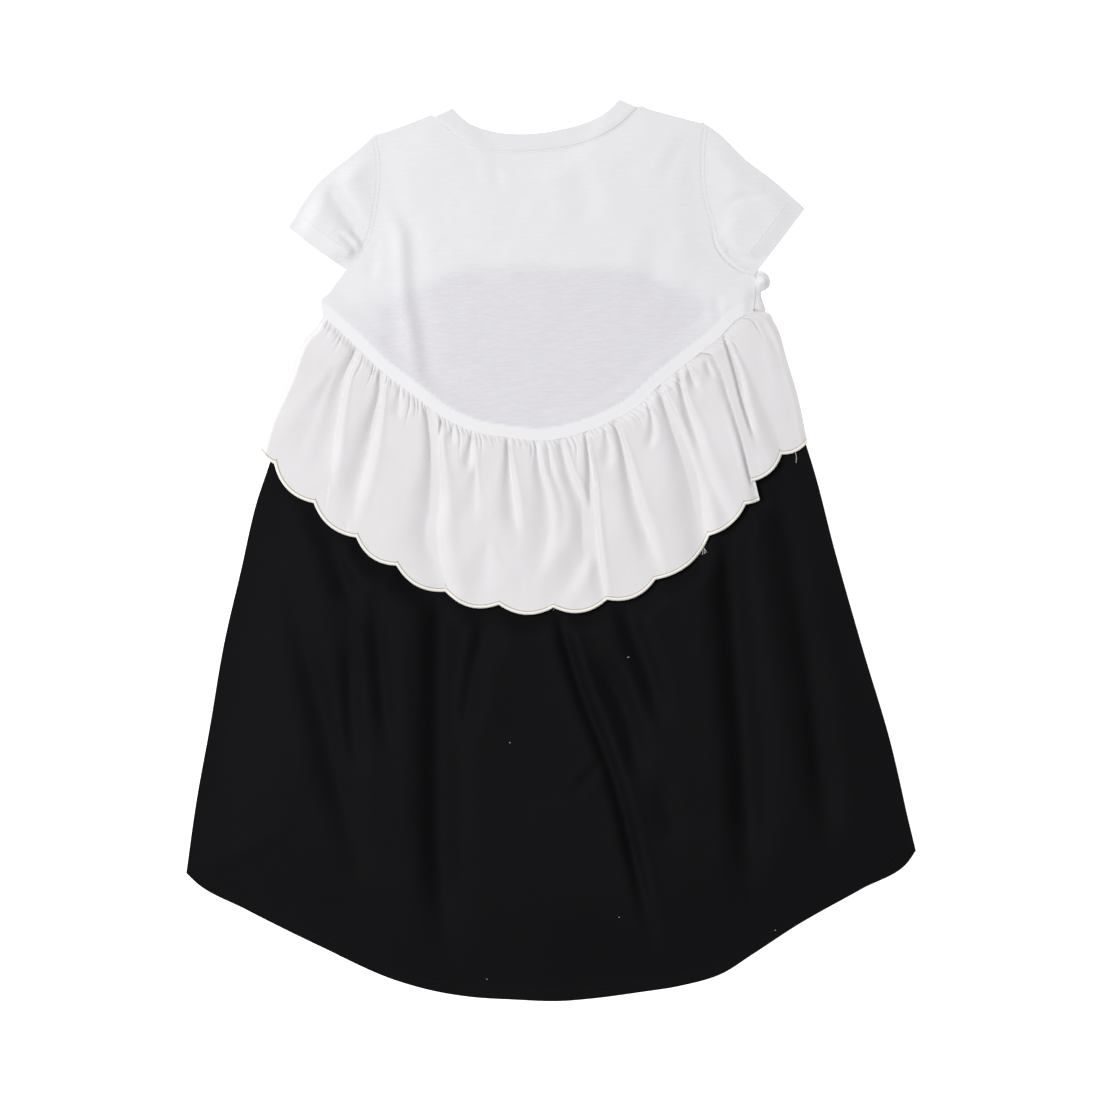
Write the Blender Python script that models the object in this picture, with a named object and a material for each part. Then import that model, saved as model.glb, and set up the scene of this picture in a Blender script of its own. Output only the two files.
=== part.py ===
"""A child's short-sleeved dress laid flat on its front, so that its back shows.

A white jersey bodice with a ribbed neckband, a gathered white ruffle with a scalloped edge,
and a black flared skirt whose hem dips at the back. Every piece of cloth is a closed wall.
The front pieces lie on the surface, the back pieces lie on them, and each layer steps down
to the surface where the one below it ends. Tables are in millimetres: x to the right, y
towards the neck, with the origin under the middle of the dress and z = 0 on the surface.
"""

from collections import namedtuple

import bmesh
import bpy
import numpy as np
from mathutils import Vector
from mathutils.geometry import delaunay_2d_cdt

MM = 0.001

# Cloth
WALL = 1.0
GAP = 0.3
LAYER = WALL + GAP
REACH = 16.0  # past the front neckline, the back comes down to the surface over this distance
SPREAD = 4.0  # and starts to come down this far from it
HEM_REACH = 60.0  # the same past the hems of the front skirt and the front ruffle
HEM_SPREAD = 10.0
WAIST = 150.0
BAND_WIDE = 10.5  # the pressed-up seam allowance along the bottom of the bodice
BAND_FADE = 2.5

# Colours, linear, and roughness
JERSEY_WHITE = (0.83, 0.82, 0.84)
RIB_WHITE = (0.87, 0.87, 0.88)
POPLIN_WHITE = (0.76, 0.74, 0.76)
COTTON_BLACK = (0.008, 0.008, 0.009)
KNIT_ROUGHNESS = 0.9
WOVEN_ROUGHNESS = 0.8

# Points along the edges and inside the panels
FILL_STEP = 12.0  # spacing inside the bodice panels
WELD = 1e-5  # points nearer to each other than this are one
NECK_POINTS = 15
ARMHOLE_POINTS = 11
SIDE_POINTS = 8
SEAM_POINTS = 23
SKIRT_COLUMNS = 57
SKIRT_ROW_SHARES = (
    0.0, 0.04, 0.08, 0.12, 0.16, 0.2, 0.24, 0.28, 0.33, 0.4, 0.5, 0.6, 0.7, 0.8, 0.87, 0.93, 1.0,
)
FRONT_SKIRT_COLUMNS = 25
FRONT_SKIRT_ROW_SHARES = (0.0, 0.1, 0.2, 0.24, 0.28, 0.32, 0.36, 0.4, 0.5, 0.75, 1.0)
SLEEVE_ROWS = 6
NECKBAND_ROWS = 3
RUFFLE_SIDE_POINTS = 9
CURVE_FINENESS = 12  # steps that a smooth line takes for each of its points
FOLD_FINENESS = 4  # points on a fold's line, or on a side's, for each row of its table
SIDE_FINENESS = 8

# Shape of every fold
FOLD_FULL = (0.3, 0.7)  # between these shares of its length it has its full height
RIDGE_PLACE = 1.9  # widths from a fold's middle to the ridge beside it

# Ruffle
GATHERS = 80  # small gathers at the seam, one ridge and one valley each
GATHER_HIGH = 1.5
GATHER_LONG = 22.0
GATHER_MEAN = 0.65  # heights vary about this share of GATHER_HIGH
GATHER_VARY = 0.35
LEFT_GATHER_WAVE = 2.3
RIGHT_GATHER_WAVE = 1.9
RUFFLE_ROW_SHARES = (0.0, 0.07, 0.16, 0.3, 0.48, 0.66, 0.84, 1.0)
RUFFLE_SEAM_LOFT = 0.9
RUFFLE_HEM_LOFT = 4.6
LOFT_FULL = 0.7  # share of the ruffle's depth at which it has the hem's loft
SCALLOP_POINTS = 6
PLEAT_SEAM_LAP = 2.4  # how far the pleat's top layer lies over its lower one, at the seam
PLEAT_CLEAR = 1.8  # past the hidden fold, before the top layer starts to come down
PLEAT_SETTLE = 16.0
PLEAT_FLAT = 7.2  # the ruffle's folds ease out this far from the pleat
PLEAT_LIFTS = (0.5, 1.0, 1.0, 1.5)  # in layers: first turn, middle layer's two ends, second turn
PLEAT_TOP_LIFT = 2.0
NO_GATHERS_LEFT = 4  # lines without gathers on each side of the pleat
NO_GATHERS_RIGHT = 6
SIDE_COLUMNS = 6  # over which the ruffle flattens towards each side of the dress
SIDE_DROP = 5.0  # the ruffle comes down past the skirt's side over this distance
SIDE_SPREAD = 2.0
FRONT_RUFFLE_ROWS = 4
FRONT_SCALLOPS = 10
FRONT_SCALLOP_BULGE = 7.0

# Skirt
SKIRT_LOFT = 4.0
SKIRT_EDGE = 30.0  # width of the strip along each edge where the loft comes down
RUFFLE_PRESS = 20.0  # and of the strip along the ruffle, which holds the skirt down
RUFFLE_MARGIN = 14.0

# Bodice and sleeves
BODICE_LOFT = 1.2
BODICE_EDGE = 22.0
SLEEVE_LOFT = 2.4
SLEEVE_EDGE = 18.0
UNDERARM_TRIM = 7.0  # the sleeve's fold under the arm stops this far short of the armhole's end
UNDERARM_CLEAR = 0.8
PUFF_PLACE = (171.5, 214.0)
PUFF_HIGH = 3.0
PUFF_WIDE = 4.5

Fold = namedtuple("Fold", "name deep wide left_ridge right_ridge start end path")
Scallop = namedtuple("Scallop", "x y bulge")
Fan = namedtuple("Fan", "seam_share hem_share")

# Neckband, from the left shoulder to the right
BACK_NECK_INNER = (
    (-78.4, 353.2), (-67.0, 342.8), (-48.0, 335.6), (-28.0, 333.2), (-8.8, 334.0),
    (5.6, 336.4), (27.2, 342.0), (44.0, 350.4), (54.4, 360.0),
)
BACK_NECK_OUTER = (
    (-92.0, 346.8), (-67.2, 328.2), (-47.2, 321.0), (-28.0, 319.4), (-8.8, 320.6),
    (14.4, 323.6), (34.4, 329.6), (52.8, 339.6), (68.6, 354.0),
)
FRONT_NECK_INNER = (
    (-78.4, 353.2), (-70.0, 327.0), (-48.0, 301.0), (-12.0, 290.0), (24.0, 304.0),
    (46.0, 331.0), (54.4, 360.0),
)
FRONT_NECK_OUTER = (
    (-92.0, 346.8), (-83.0, 318.0), (-57.0, 289.0), (-12.0, 276.5), (33.0, 291.0),
    (59.0, 323.0), (68.6, 354.0),
)

# Shoulders, armholes, cuffs and sides, each from the neck or the shoulder outwards and down
LEFT_SHOULDER = (
    (-92.0, 346.8), (-96.0, 348.6), (-103.0, 345.4), (-131.0, 335.0), (-140.0, 332.6),
)
RIGHT_SHOULDER = (
    (68.6, 354.0), (72.0, 355.8), (80.0, 352.4), (109.6, 344.6), (121.0, 341.8),
)
LEFT_ARMHOLE = (
    (-140.0, 332.6), (-136.4, 315.0), (-136.0, 296.0), (-139.0, 272.0), (-144.0, 250.0),
    (-152.0, 236.0), (-163.5, 225.0),
)
RIGHT_ARMHOLE = (
    (121.0, 341.8), (118.4, 315.0), (120.2, 285.0), (127.0, 259.6), (131.0, 242.8),
    (140.0, 230.4), (152.8, 222.0), (163.5, 219.5),
)
LEFT_SLEEVE_FOLD = (
    (-140.0, 332.6), (-155.2, 318.8), (-188.8, 290.0), (-202.4, 270.0), (-209.6, 258.0),
)
RIGHT_SLEEVE_FOLD = (
    (121.0, 341.8), (134.4, 332.4), (155.2, 312.0), (176.8, 295.6), (202.4, 272.8),
)
LEFT_UNDERARM = ((-163.5, 225.0), (-166.4, 226.2))
RIGHT_UNDERARM = ((163.5, 219.5), (166.8, 226.0))
LEFT_CUFF = ((-209.6, 258.0), (-188.0, 241.0), (-166.4, 226.2))
RIGHT_CUFF = ((202.4, 272.8), (185.0, 249.6), (166.8, 226.0))
LEFT_SIDE = (
    (-163.5, 225.0), (-173.6, 211.6), (-178.6, 204.8), (-182.6, 202.0), (-182.4, 187.2),
)
RIGHT_SIDE = ((163.5, 219.5), (163.4, 204.4), (161.6, 190.8))
# The front shows past the back's right side, with a small puff under the arm.
FRONT_RIGHT_SIDE = (
    (163.5, 219.5), (169.0, 219.2), (174.6, 217.4), (175.6, 212.0), (168.8, 206.0), (171.0, 193.4),
)

# Seams between bodice and skirt
BACK_SEAM = (
    (-182.4, 187.2), (-164.8, 171.6), (-133.6, 142.0), (-110.4, 124.6), (-88.0, 107.4),
    (-63.2, 95.8), (-35.2, 90.2), (-0.8, 88.4), (28.0, 95.2), (48.8, 103.6), (68.0, 114.8),
    (88.0, 133.2), (108.0, 149.2), (133.6, 169.2), (150.4, 185.6), (161.6, 190.8),
)
FRONT_SEAM = (
    (-182.4, 187.2), (-152.8, 194.0), (-108.8, 208.4), (-80.8, 221.0), (-0.8, 226.0),
    (75.2, 221.0), (103.2, 208.4), (135.2, 197.4), (171.0, 193.4),
)

# Skirt
SKIRT_LEFT = (
    (-182.6, 186.6), (-190.0, 166.0), (-203.5, 132.0), (-216.0, 100.0), (-224.8, 70.0), (-235.2, 38.8),
    (-248.0, -16.4), (-261.0, -72.4), (-272.8, -141.2), (-284.0, -203.6), (-291.6, -258.0),
)
SKIRT_RIGHT = (
    (162.0, 190.2), (167.5, 184.0), (172.5, 172.0), (181.5, 148.0), (190.5, 118.0), (200.5, 94.0),
    (209.0, 68.0), (227.2, -1.2), (248.8, -77.2), (272.0, -155.6), (284.8, -211.6), (291.6, -240.0),
)
BACK_HEM = (
    (-291.6, -258.0), (-283.2, -266.0), (-244.8, -286.6), (-184.8, -316.4), (-122.4, -344.4),
    (-90.4, -353.0), (-64.8, -357.0), (-30.4, -359.2), (7.2, -360.4), (34.4, -358.2), (70.4, -353.4),
    (102.4, -348.4), (136.8, -338.4), (160.8, -323.2), (196.8, -299.6), (248.0, -270.8), (285.0, -249.6),
    (291.6, -240.0),
)
FRONT_HEM = (
    (-290.6, -257.0), (-240.0, -266.0), (-120.0, -282.0), (0.0, -286.0), (120.0, -276.0),
    (240.0, -252.0), (290.6, -239.4),
)

# Folds: paths run away from the neck, and left and right are as seen from above, neck at the top
SKIRT_FOLDS = (
    Fold("left_short", 3.0, 6.0, 0.8, 0.0, 1.0, 0.0, ((-222, 70), (-221, 36), (-220, 10))),
    Fold("left_soft", 2.4, 10.0, 0.6, 0.6, 0.4, 0.2, ((-186, 30), (-178, -12), (-163, -45))),
    Fold("left_long", 2.8, 12.0, 0.8, 0.8, 0.2, 0.4,
         ((-205, -50), (-187, -131), (-171, -196), (-156, -250))),
    Fold("main_left", 5.0, 9.0, 1.8, 1.4, 1.0, 0.5,
         ((-96, 0), (-100, -37), (-102.4, -86), (-103.2, -147), (-100, -208), (-96, -268), (-88, -320))),
    Fold("middle_faint", 2.2, 9.0, 0.5, 0.5, 0.8, 0.1,
         ((-50, -30), (-57, -60), (-66, -98), (-74, -150))),
    Fold("middle_crease", 3.8, 6.0, 0.4, 1.6, 1.0, 0.3,
         ((0, -30), (6, -49), (19, -90), (40, -163), (52, -220), (66, -264), (82, -325))),
    Fold("middle_soft", 2.2, 12.0, 0.6, 0.6, 0.8, 0.1, ((50, -30), (60, -60), (76, -104))),
    Fold("main_right", 4.6, 8.5, 1.4, 1.6, 1.0, 0.2,
         ((124, 20), (125, -9), (129, -66), (137, -131), (145, -204), (143, -270))),
    Fold("far_right", 4.4, 8.0, 1.4, 1.4, 1.0, 0.2,
         ((168, 60), (174, 36), (186, -13), (192, -66), (202, -147), (210, -204), (219, -262))),
    Fold("left_edge", 2.0, 11.0, 0.4, 0.4, 0.1, 0.1, ((-262, -120), (-268, -167), (-270, -215))),
)
RUFFLE_FOLDS = (
    Fold("left_rim", 2.0, 7.0, 0.8, 0.4, 0.6, 0.3, ((-176, 160), (-184, 128), (-197, 92), (-206, 62))),
    Fold("left_first", 3.0, 6.0, 0.8, 0.8, 0.8, 0.3, ((-152, 160), (-164, 133), (-173, 104), (-182, 55))),
    Fold("left_second", 2.8, 6.0, 0.6, 1.2, 0.8, 0.3, ((-133, 142), (-137, 116), (-143, 92), (-156, 40))),
    Fold("left_deep", 5.2, 5.2, 1.2, 1.8, 0.9, 0.9,
         ((-100, 116), (-95, 92), (-93.6, 60), (-95, 24), (-92, 1), (-84, -34))),
    Fold("left_small", 2.6, 4.5, 0.6, 0.6, 0.9, 0.1, ((-65, 96), (-62, 70), (-62, 18))),
    Fold("centre_first", 3.0, 5.0, 0.8, 0.8, 1.0, 0.2, ((-34, 90), (-32, 60), (-29, 33), (-24, 4))),
    Fold("centre_bent", 3.2, 5.0, 1.0, 1.0, 1.0, 0.3,
         ((-13, 88), (-8, 60), (-2.4, 42), (-5.6, 17), (-16, 0), (-22, -30))),
    Fold("centre_bow", 3.6, 5.5, 0.8, 1.6, 1.0, 0.5,
         ((8, 90), (16, 63), (25, 39), (27, 19), (21, -8), (7, -36))),
    Fold("right_sharp", 3.4, 4.0, 1.2, 1.0, 1.0, 0.6,
         ((28, 97), (32, 77), (34.4, 50), (34.4, 30), (38, -2), (43, -34))),
    Fold("right_soft", 3.0, 6.0, 0.8, 0.8, 1.0, 0.4, ((52, 106), (60, 80), (65, 60), (69, 35), (86, -18))),
    Fold("right_wide", 4.8, 7.5, 1.2, 1.0, 0.8, 1.0, ((87, 133), (97, 107), (107, 80), (114, 51), (120, 4))),
    Fold("right_second", 3.8, 5.5, 0.6, 1.4, 0.8, 0.6, ((104, 146), (113, 102), (122, 67), (140, 26))),
    Fold("right_lap", 2.6, 5.0, 0.6, 0.8, 1.0, 0.3, ((142, 170), (150, 142), (158, 112), (170, 78))),
    Fold("right_rim", 2.0, 7.0, 0.4, 0.8, 0.5, 0.3, ((166, 182), (180, 160), (191, 124), (198, 92))),
)
BODICE_FOLDS = (
    Fold("left_body", 2.2, 7.0, 2.2, 0.5, 0.1, 0.5,
         ((-135, 304), (-124, 277), (-115, 260), (-110, 237), (-109, 198), (-103, 168), (-94, 122))),
    Fold("left_under", 1.2, 7.0, 0.8, 0.6, 0.1, 0.1, ((-152, 250), (-150, 226), (-140, 204))),
    Fold("right_pucker", 1.4, 4.0, 0.8, 0.8, 0.2, 0.6, ((135, 200), (134, 190), (138, 176))),
)
SLEEVE_FOLDS = (
    Fold("left_sleeve", 2.6, 6.0, 0.6, 1.8, 0.2, 0.8,
         ((-178, 291), (-166, 272), (-155, 255), (-149, 240), (-153, 230))),
    Fold("right_sleeve", 1.6, 7.0, 0.8, 0.6, 0.1, 0.2, ((182, 284), (154, 278), (134, 262), (136, 248))),
    Fold("right_underarm", 2.2, 5.0, 1.2, 0.4, 0.6, 0.6, ((142, 236), (152, 230), (164, 228))),
)

# Ruffle's scalloped edge: the points between scallops, and how far the next one bows out
LEFT_SCALLOPS = (
    Scallop(-232.0, 79.0, 1.0), Scallop(-220.6, 69.6, 7.2), Scallop(-189.2, 38.3, 6.6),
    Scallop(-155.2, 10.8, 6.4), Scallop(-123.2, -11.6, 7.0), Scallop(-84.0, -32.4, 7.4),
    Scallop(-41.6, -42.8, 6.8), Scallop(2.0, -45.2, 7.2), Scallop(44.8, -38.8, 6.8),
    Scallop(83.2, -22.8, 7.8), Scallop(126.4, 12.4, 4.6), Scallop(155.2, 37.2, 1.4),
    Scallop(169.6, 47.6, 0.0),
)
RIGHT_SCALLOPS = (
    Scallop(160.4, 55.6, 4.6), Scallop(184.0, 77.2, 3.0), Scallop(204.8, 87.0, 0.0),
)
FRONT_RUFFLE_HEM = ((-232.0, 79.0), (-120.0, 86.0), (-12.0, 92.0), (100.0, 91.0), (204.8, 87.0))
# The ruffle's ends go round the sides of the dress
RUFFLE_LEFT = (
    (-183.0, 186.4), (-188.0, 178.0), (-195.0, 171.0), (-210.4, 134.8), (-224.8, 103.6),
    (-232.0, 79.0),
)
RUFFLE_RIGHT = (
    (163.0, 190.6), (172.6, 190.2), (179.6, 180.4), (188.8, 151.6), (197.6, 122.0), (204.8, 87.0),
)
FAN = (
    Fan(0.0, 0.0), Fan(0.11, 0.135), Fan(0.185, 0.21), Fan(0.306, 0.40), Fan(0.56, 0.54),
    Fan(0.75, 0.79), Fan(0.88, 0.876), Fan(1.0, 1.0),
)
PLEAT_SEAM_SHARE = 0.868  # where the lapped pleat starts, as a share of the seam from the left


def smooth_line(rows, count):
    """Points evenly spaced on a smooth line through the rows."""
    knots = np.array(rows, float)
    chord = np.r_[0.0, np.cumsum(np.linalg.norm(np.diff(knots, axis=0), axis=1))]
    slopes = np.gradient(knots, chord, axis=0)
    at = np.linspace(0.0, chord[-1], CURVE_FINENESS * count)
    span = np.clip(np.searchsorted(chord, at, side="right") - 1, 0, len(chord) - 2)
    length = (chord[span + 1] - chord[span])[:, None]
    t = (at[:, None] - chord[span][:, None]) / length
    line = (
        (2 * t**3 - 3 * t**2 + 1) * knots[span]
        + (t**3 - 2 * t**2 + t) * length * slopes[span]
        + (3 * t**2 - 2 * t**3) * knots[span + 1]
        + (t**3 - t**2) * length * slopes[span + 1]
    )
    return spaced(line, np.linspace(0.0, 1.0, count))


def spaced(line, shares):
    """Points at these shares of a line's length."""
    run = np.r_[0.0, np.cumsum(np.linalg.norm(np.diff(line, axis=0), axis=1))]
    at = np.asarray(shares) * run[-1]
    return np.stack([np.interp(at, run, line[:, axis]) for axis in range(2)], axis=1)


def joined(*lines):
    """Lines end to end, each starting where the one before it ends."""
    return np.concatenate([lines[0]] + [line[1:] for line in lines[1:]])


def moved_aside(line, distance):
    """The line moved to its right-hand side."""
    along = np.gradient(line, axis=0)
    along /= np.linalg.norm(along, axis=1)[:, None]
    return line + distance * np.stack([along[:, 1], -along[:, 0]], axis=1)


def patch(top, bottom, left, right, row_shares=None):
    """A grid of points that fills four edge lines, rows from top to bottom."""
    if row_shares is None:
        row_shares = np.linspace(0.0, 1.0, len(left))
    u = np.linspace(0.0, 1.0, len(top))[None, :, None]
    v = row_shares[:, None, None]
    across = (1 - v) * top[None] + v * bottom[None]
    down = (1 - u) * left[:, None] + u * right[:, None]
    corners = (
        (1 - u) * (1 - v) * top[0]
        + u * (1 - v) * top[-1]
        + (1 - u) * v * bottom[0]
        + u * v * bottom[-1]
    )
    return across + down - corners


def eased(share):
    t = np.clip(share, 0.0, 1.0)
    return t * t * (3 - 2 * t)


def nearest_on(points, line):
    """Distance to a line, share of the way along it, and the side, positive on its right hand."""
    start = line[:-1]
    step = np.diff(line, axis=0)
    from_start = points[..., None, :] - start
    share = np.clip((from_start * step).sum(-1) / (step**2).sum(-1), 0.0, 1.0)
    offset = from_start - share[..., None] * step
    distance = np.linalg.norm(offset, axis=-1)
    best = distance.argmin(-1)[..., None]
    side = np.sign(step[:, 1] * offset[..., 0] - step[:, 0] * offset[..., 1])
    along = (np.arange(len(start)) + share) / len(start)
    return [np.take_along_axis(item, best, -1)[..., 0] for item in (distance, along, side)]


def depth_inside(points, outline):
    """Distance to an outline, counted positive inside it."""
    loop = np.concatenate([outline, outline[:1]])
    distance = nearest_on(points, loop)[0]
    x, y = points[..., 0, None], points[..., 1, None]
    x0, y0 = loop[:-1].T
    x1, y1 = loop[1:].T
    spans = (y0 > y) != (y1 > y)
    rise = np.where(y1 == y0, 1.0, y1 - y0)
    crossed = spans & (x < x0 + (y - y0) / rise * (x1 - x0))
    return np.where(crossed.sum(-1) % 2 == 1, distance, -distance)


def over(points, outline, reach=REACH, spread=SPREAD):
    """One on top of a lower layer, easing to nought as the cloth comes down past its edge."""
    return eased(1 + (depth_inside(points, outline) + spread) / reach)


def folded(points, folds):
    """Height that the folds add, with troughs below nought and ridges above it."""
    height = np.zeros(points.shape[:-1])
    for fold in folds:
        line = smooth_line(fold.path, FOLD_FINENESS * len(fold.path))
        distance, along, side = nearest_on(points, line)
        strength = np.interp(along, (0.0, *FOLD_FULL, 1.0), (fold.start, 1.0, 1.0, fold.end))
        ridge = np.where(side > 0, fold.left_ridge, fold.right_ridge)
        widths = distance / fold.wide
        trough = fold.deep * np.exp(-(widths**2))
        shoulder = ridge * np.exp(-((widths - RIDGE_PLACE) ** 2))
        height += strength * (shoulder - trough)
    return height


def grid_faces(rows, columns, tube=False):
    """Triangles of a grid, whose columns join up again in a tube, and the loops round its edges."""

    def at(i, j):
        return i * columns + j % columns

    faces = []
    for i in range(rows - 1):
        for j in range(columns if tube else columns - 1):
            faces.append((at(i, j), at(i + 1, j), at(i + 1, j + 1)))
            faces.append((at(i, j), at(i + 1, j + 1), at(i, j + 1)))
    first = [at(0, j) for j in range(columns)]
    last = [at(rows - 1, j) for j in range(columns)]
    if tube:
        return faces, [first, last]
    right = [at(i, columns - 1) for i in range(1, rows - 1)]
    left = [at(i, 0) for i in range(1, rows - 1)]
    return faces, [first + right + last[::-1] + left[::-1]]


def filled(outline):
    """A flat shape's points, the outline first, its triangles and the loop round its edge."""
    low = outline.min(axis=0) + FILL_STEP / 2
    high = outline.max(axis=0)
    x, y = np.meshgrid(np.arange(low[0], high[0], FILL_STEP), np.arange(low[1], high[1], FILL_STEP))
    lattice = np.stack([x.ravel(), y.ravel()], axis=1)
    lattice = lattice[depth_inside(lattice, outline) > FILL_STEP / 2]
    points = np.concatenate([outline, lattice])
    rim = list(range(len(outline)))
    edges = list(zip(rim, rim[1:] + rim[:1]))
    made = delaunay_2d_cdt([Vector(point) for point in points], edges, [], 0, WELD, False)
    faces = np.array(made[2])
    inside = depth_inside(points[faces].mean(axis=1), outline) > 0
    return points, faces[inside].tolist(), [rim]


def wall(name, upper, lower, faces, rims, material):
    """A closed solid between two sheets of points that share their faces."""
    upper = upper.reshape(-1, 3)
    count = len(upper)
    corners = np.concatenate([upper, lower.reshape(-1, 3)]) * MM
    walls = [tuple(face) for face in faces]
    walls += [tuple(count + i for i in reversed(face)) for face in faces]
    for rim in rims:
        for here, there in zip(rim, rim[1:] + rim[:1]):
            walls.append((here, there, count + there, count + here))
    mesh = bpy.data.meshes.new(name)
    mesh.from_pydata(corners.tolist(), [], walls)
    shaped = bmesh.new()
    shaped.from_mesh(mesh)
    bmesh.ops.recalc_face_normals(shaped, faces=shaped.faces)
    shaped.to_mesh(mesh)
    shaped.free()
    mesh.shade_smooth()
    mesh.materials.append(material)
    bpy.context.scene.collection.objects.link(bpy.data.objects.new(name, mesh))


def laid(name, points, faces, rims, underside, material, extra=0.0):
    """A panel lying on what is under it, its wall thickened by extra on the upper side."""
    lower = np.column_stack([points.reshape(-1, 2), underside.ravel()])
    upper = lower + np.outer(WALL + extra + np.zeros(len(lower)), (0.0, 0.0, 1.0))
    wall(name, upper, lower, faces, rims, material)


def laid_grid(name, plan, underside, material):
    laid(name, plan, *grid_faces(*plan.shape[:2]), underside, material)


def both_faces(middle):
    """The upper and lower face of a wall, each half a wall from its middle surface."""
    normal = np.cross(np.gradient(middle, axis=0), np.gradient(middle, axis=1))
    normal *= WALL / 2 / np.linalg.norm(normal, axis=2)[..., None]
    return middle + normal, middle - normal


def flattened_tube(name, upper, lower, upper_height, material):
    """A tube pressed flat: two layers that meet in a fold at each end, the lower on the surface."""

    def turn(end, before, depth):
        outwards = upper[:, end] - upper[:, before]
        outwards /= np.linalg.norm(outwards, axis=1)[:, None]
        place = (upper[:, end] + lower[:, end]) / 2 + outwards * (LAYER / 2 + depth)
        height = (upper_height[:, end] + WALL) / 2
        return np.concatenate([place, height[:, None]], axis=1)[:, None]

    def face(above, below, depth):
        top = np.dstack([upper, upper_height + above])
        under = np.dstack([lower, np.full(lower.shape[:2], below)])[:, ::-1]
        return np.concatenate([top, turn(-1, -2, depth), under, turn(0, 1, depth)], axis=1)

    outer = face(WALL, 0.0, WALL / 2)
    inner = face(0.0, WALL, -WALL / 2)
    wall(name, outer, inner, *grid_faces(*outer.shape[:2], tube=True), material)


def cloth(name, colour, roughness):
    material = bpy.data.materials.new(name)
    material.use_nodes = True
    shader = material.node_tree.nodes["Principled BSDF"]
    shader.inputs["Base Color"].default_value = (*colour, 1.0)
    shader.inputs["Roughness"].default_value = roughness
    shader.inputs["Metallic"].default_value = 0.0
    return material


for leftover in list(bpy.data.objects):
    bpy.data.objects.remove(leftover, do_unlink=True)

jersey = cloth("white_jersey", JERSEY_WHITE, KNIT_ROUGHNESS)
rib = cloth("white_rib", RIB_WHITE, KNIT_ROUGHNESS)
poplin = cloth("white_poplin", POPLIN_WHITE, WOVEN_ROUGHNESS)
black_cotton = cloth("black_cotton", COTTON_BLACK, WOVEN_ROUGHNESS)

# Edge lines that pieces share
left_armhole = smooth_line(LEFT_ARMHOLE, ARMHOLE_POINTS)
right_armhole = smooth_line(RIGHT_ARMHOLE, ARMHOLE_POINTS)
left_side = smooth_line(LEFT_SIDE, SIDE_POINTS)
right_side = smooth_line(RIGHT_SIDE, SIDE_POINTS)
front_right_side = smooth_line(FRONT_RIGHT_SIDE, SIDE_POINTS)
left_shoulder = np.array(LEFT_SHOULDER, float)[::-1]
right_shoulder = np.array(RIGHT_SHOULDER, float)
back_seam = smooth_line(BACK_SEAM, SEAM_POINTS)
front_seam = smooth_line(FRONT_SEAM, SEAM_POINTS)


def bodice_top(neck):
    """Shoulder, neck seam and shoulder, from left to right."""
    seam = moved_aside(smooth_line(neck, NECK_POINTS), GAP)
    return np.concatenate([left_shoulder[:-1], seam, right_shoulder[1:]])


def side_line(rows, top, bottom, shares):
    """A side edge through the rows that starts and ends on these two points."""
    line = smooth_line([tuple(top), *rows[1:-1], tuple(bottom)], SIDE_FINENESS * len(rows))
    return spaced(line, shares)


def bodice_outline(neck, seam, right):
    """Clockwise from the left shoulder."""
    down = joined(bodice_top(neck), right_armhole, right)
    up = joined(seam[::-1], left_side[::-1], left_armhole[::-1])
    return joined(down, up)[:-1]


def outline_of(grid):
    """The four edges of a grid as one loop."""
    return np.concatenate([grid[0], grid[1:, -1], grid[-1, -2::-1], grid[-2:0:-1, 0]])


def scalloped(cusps):
    """The edge line through these points, bowed out between each two."""
    arcs = []
    for here, there in zip(cusps[:-1], cusps[1:]):
        start = np.array((here.x, here.y))
        end = np.array((there.x, there.y))
        chord = end - start
        outwards = np.array((chord[1], -chord[0])) / np.linalg.norm(chord)
        t = np.linspace(0.0, 1.0, SCALLOP_POINTS + 1)[:, None]
        arcs.append(start + chord * t + outwards * here.bulge * 4 * t * (1 - t))
    return joined(*arcs)


# Front pieces, the lowest layer
points, faces, rims = filled(bodice_outline(FRONT_NECK_OUTER, front_seam, front_right_side))
from_puff = np.linalg.norm(points - np.array(PUFF_PLACE), axis=1)
puff = PUFF_HIGH * np.exp(-((from_puff / PUFF_WIDE) ** 2))
laid("bodice_front", points, faces, rims, np.zeros(len(points)), jersey, puff)

front_cusps = [
    Scallop(x, y, FRONT_SCALLOP_BULGE) for x, y in smooth_line(FRONT_RUFFLE_HEM, FRONT_SCALLOPS + 1)
]
front_ruffle_hem = scalloped(front_cusps)
even = np.linspace(0.0, 1.0, len(front_ruffle_hem))
front_ruffle_top = spaced(moved_aside(front_seam, GAP), even)
down = np.linspace(0.0, 1.0, FRONT_RUFFLE_ROWS)
front_ruffle_plan = patch(
    front_ruffle_top,
    front_ruffle_hem,
    side_line(RUFFLE_LEFT, front_ruffle_top[0], front_ruffle_hem[0], down),
    side_line(RUFFLE_RIGHT, front_ruffle_top[-1], front_ruffle_hem[-1], down),
)
laid_grid("ruffle_front", front_ruffle_plan, np.zeros(front_ruffle_plan.shape[:2]), poplin)
front_ruffle_outline = outline_of(front_ruffle_plan)


def skirt_plan(seam, hem, columns, row_shares):
    """A flared panel between its waist seam and its hem."""
    top = spaced(moved_aside(seam, GAP), np.linspace(0.0, 1.0, columns))
    bottom = smooth_line(hem, columns)
    shares = np.array(row_shares)
    return patch(
        top,
        bottom,
        side_line(SKIRT_LEFT, top[0], bottom[0], shares),
        side_line(SKIRT_RIGHT, top[-1], bottom[-1], shares),
        shares,
    )


def on_front_ruffle(points):
    return LAYER * over(points, front_ruffle_outline, HEM_REACH, HEM_SPREAD)


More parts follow.
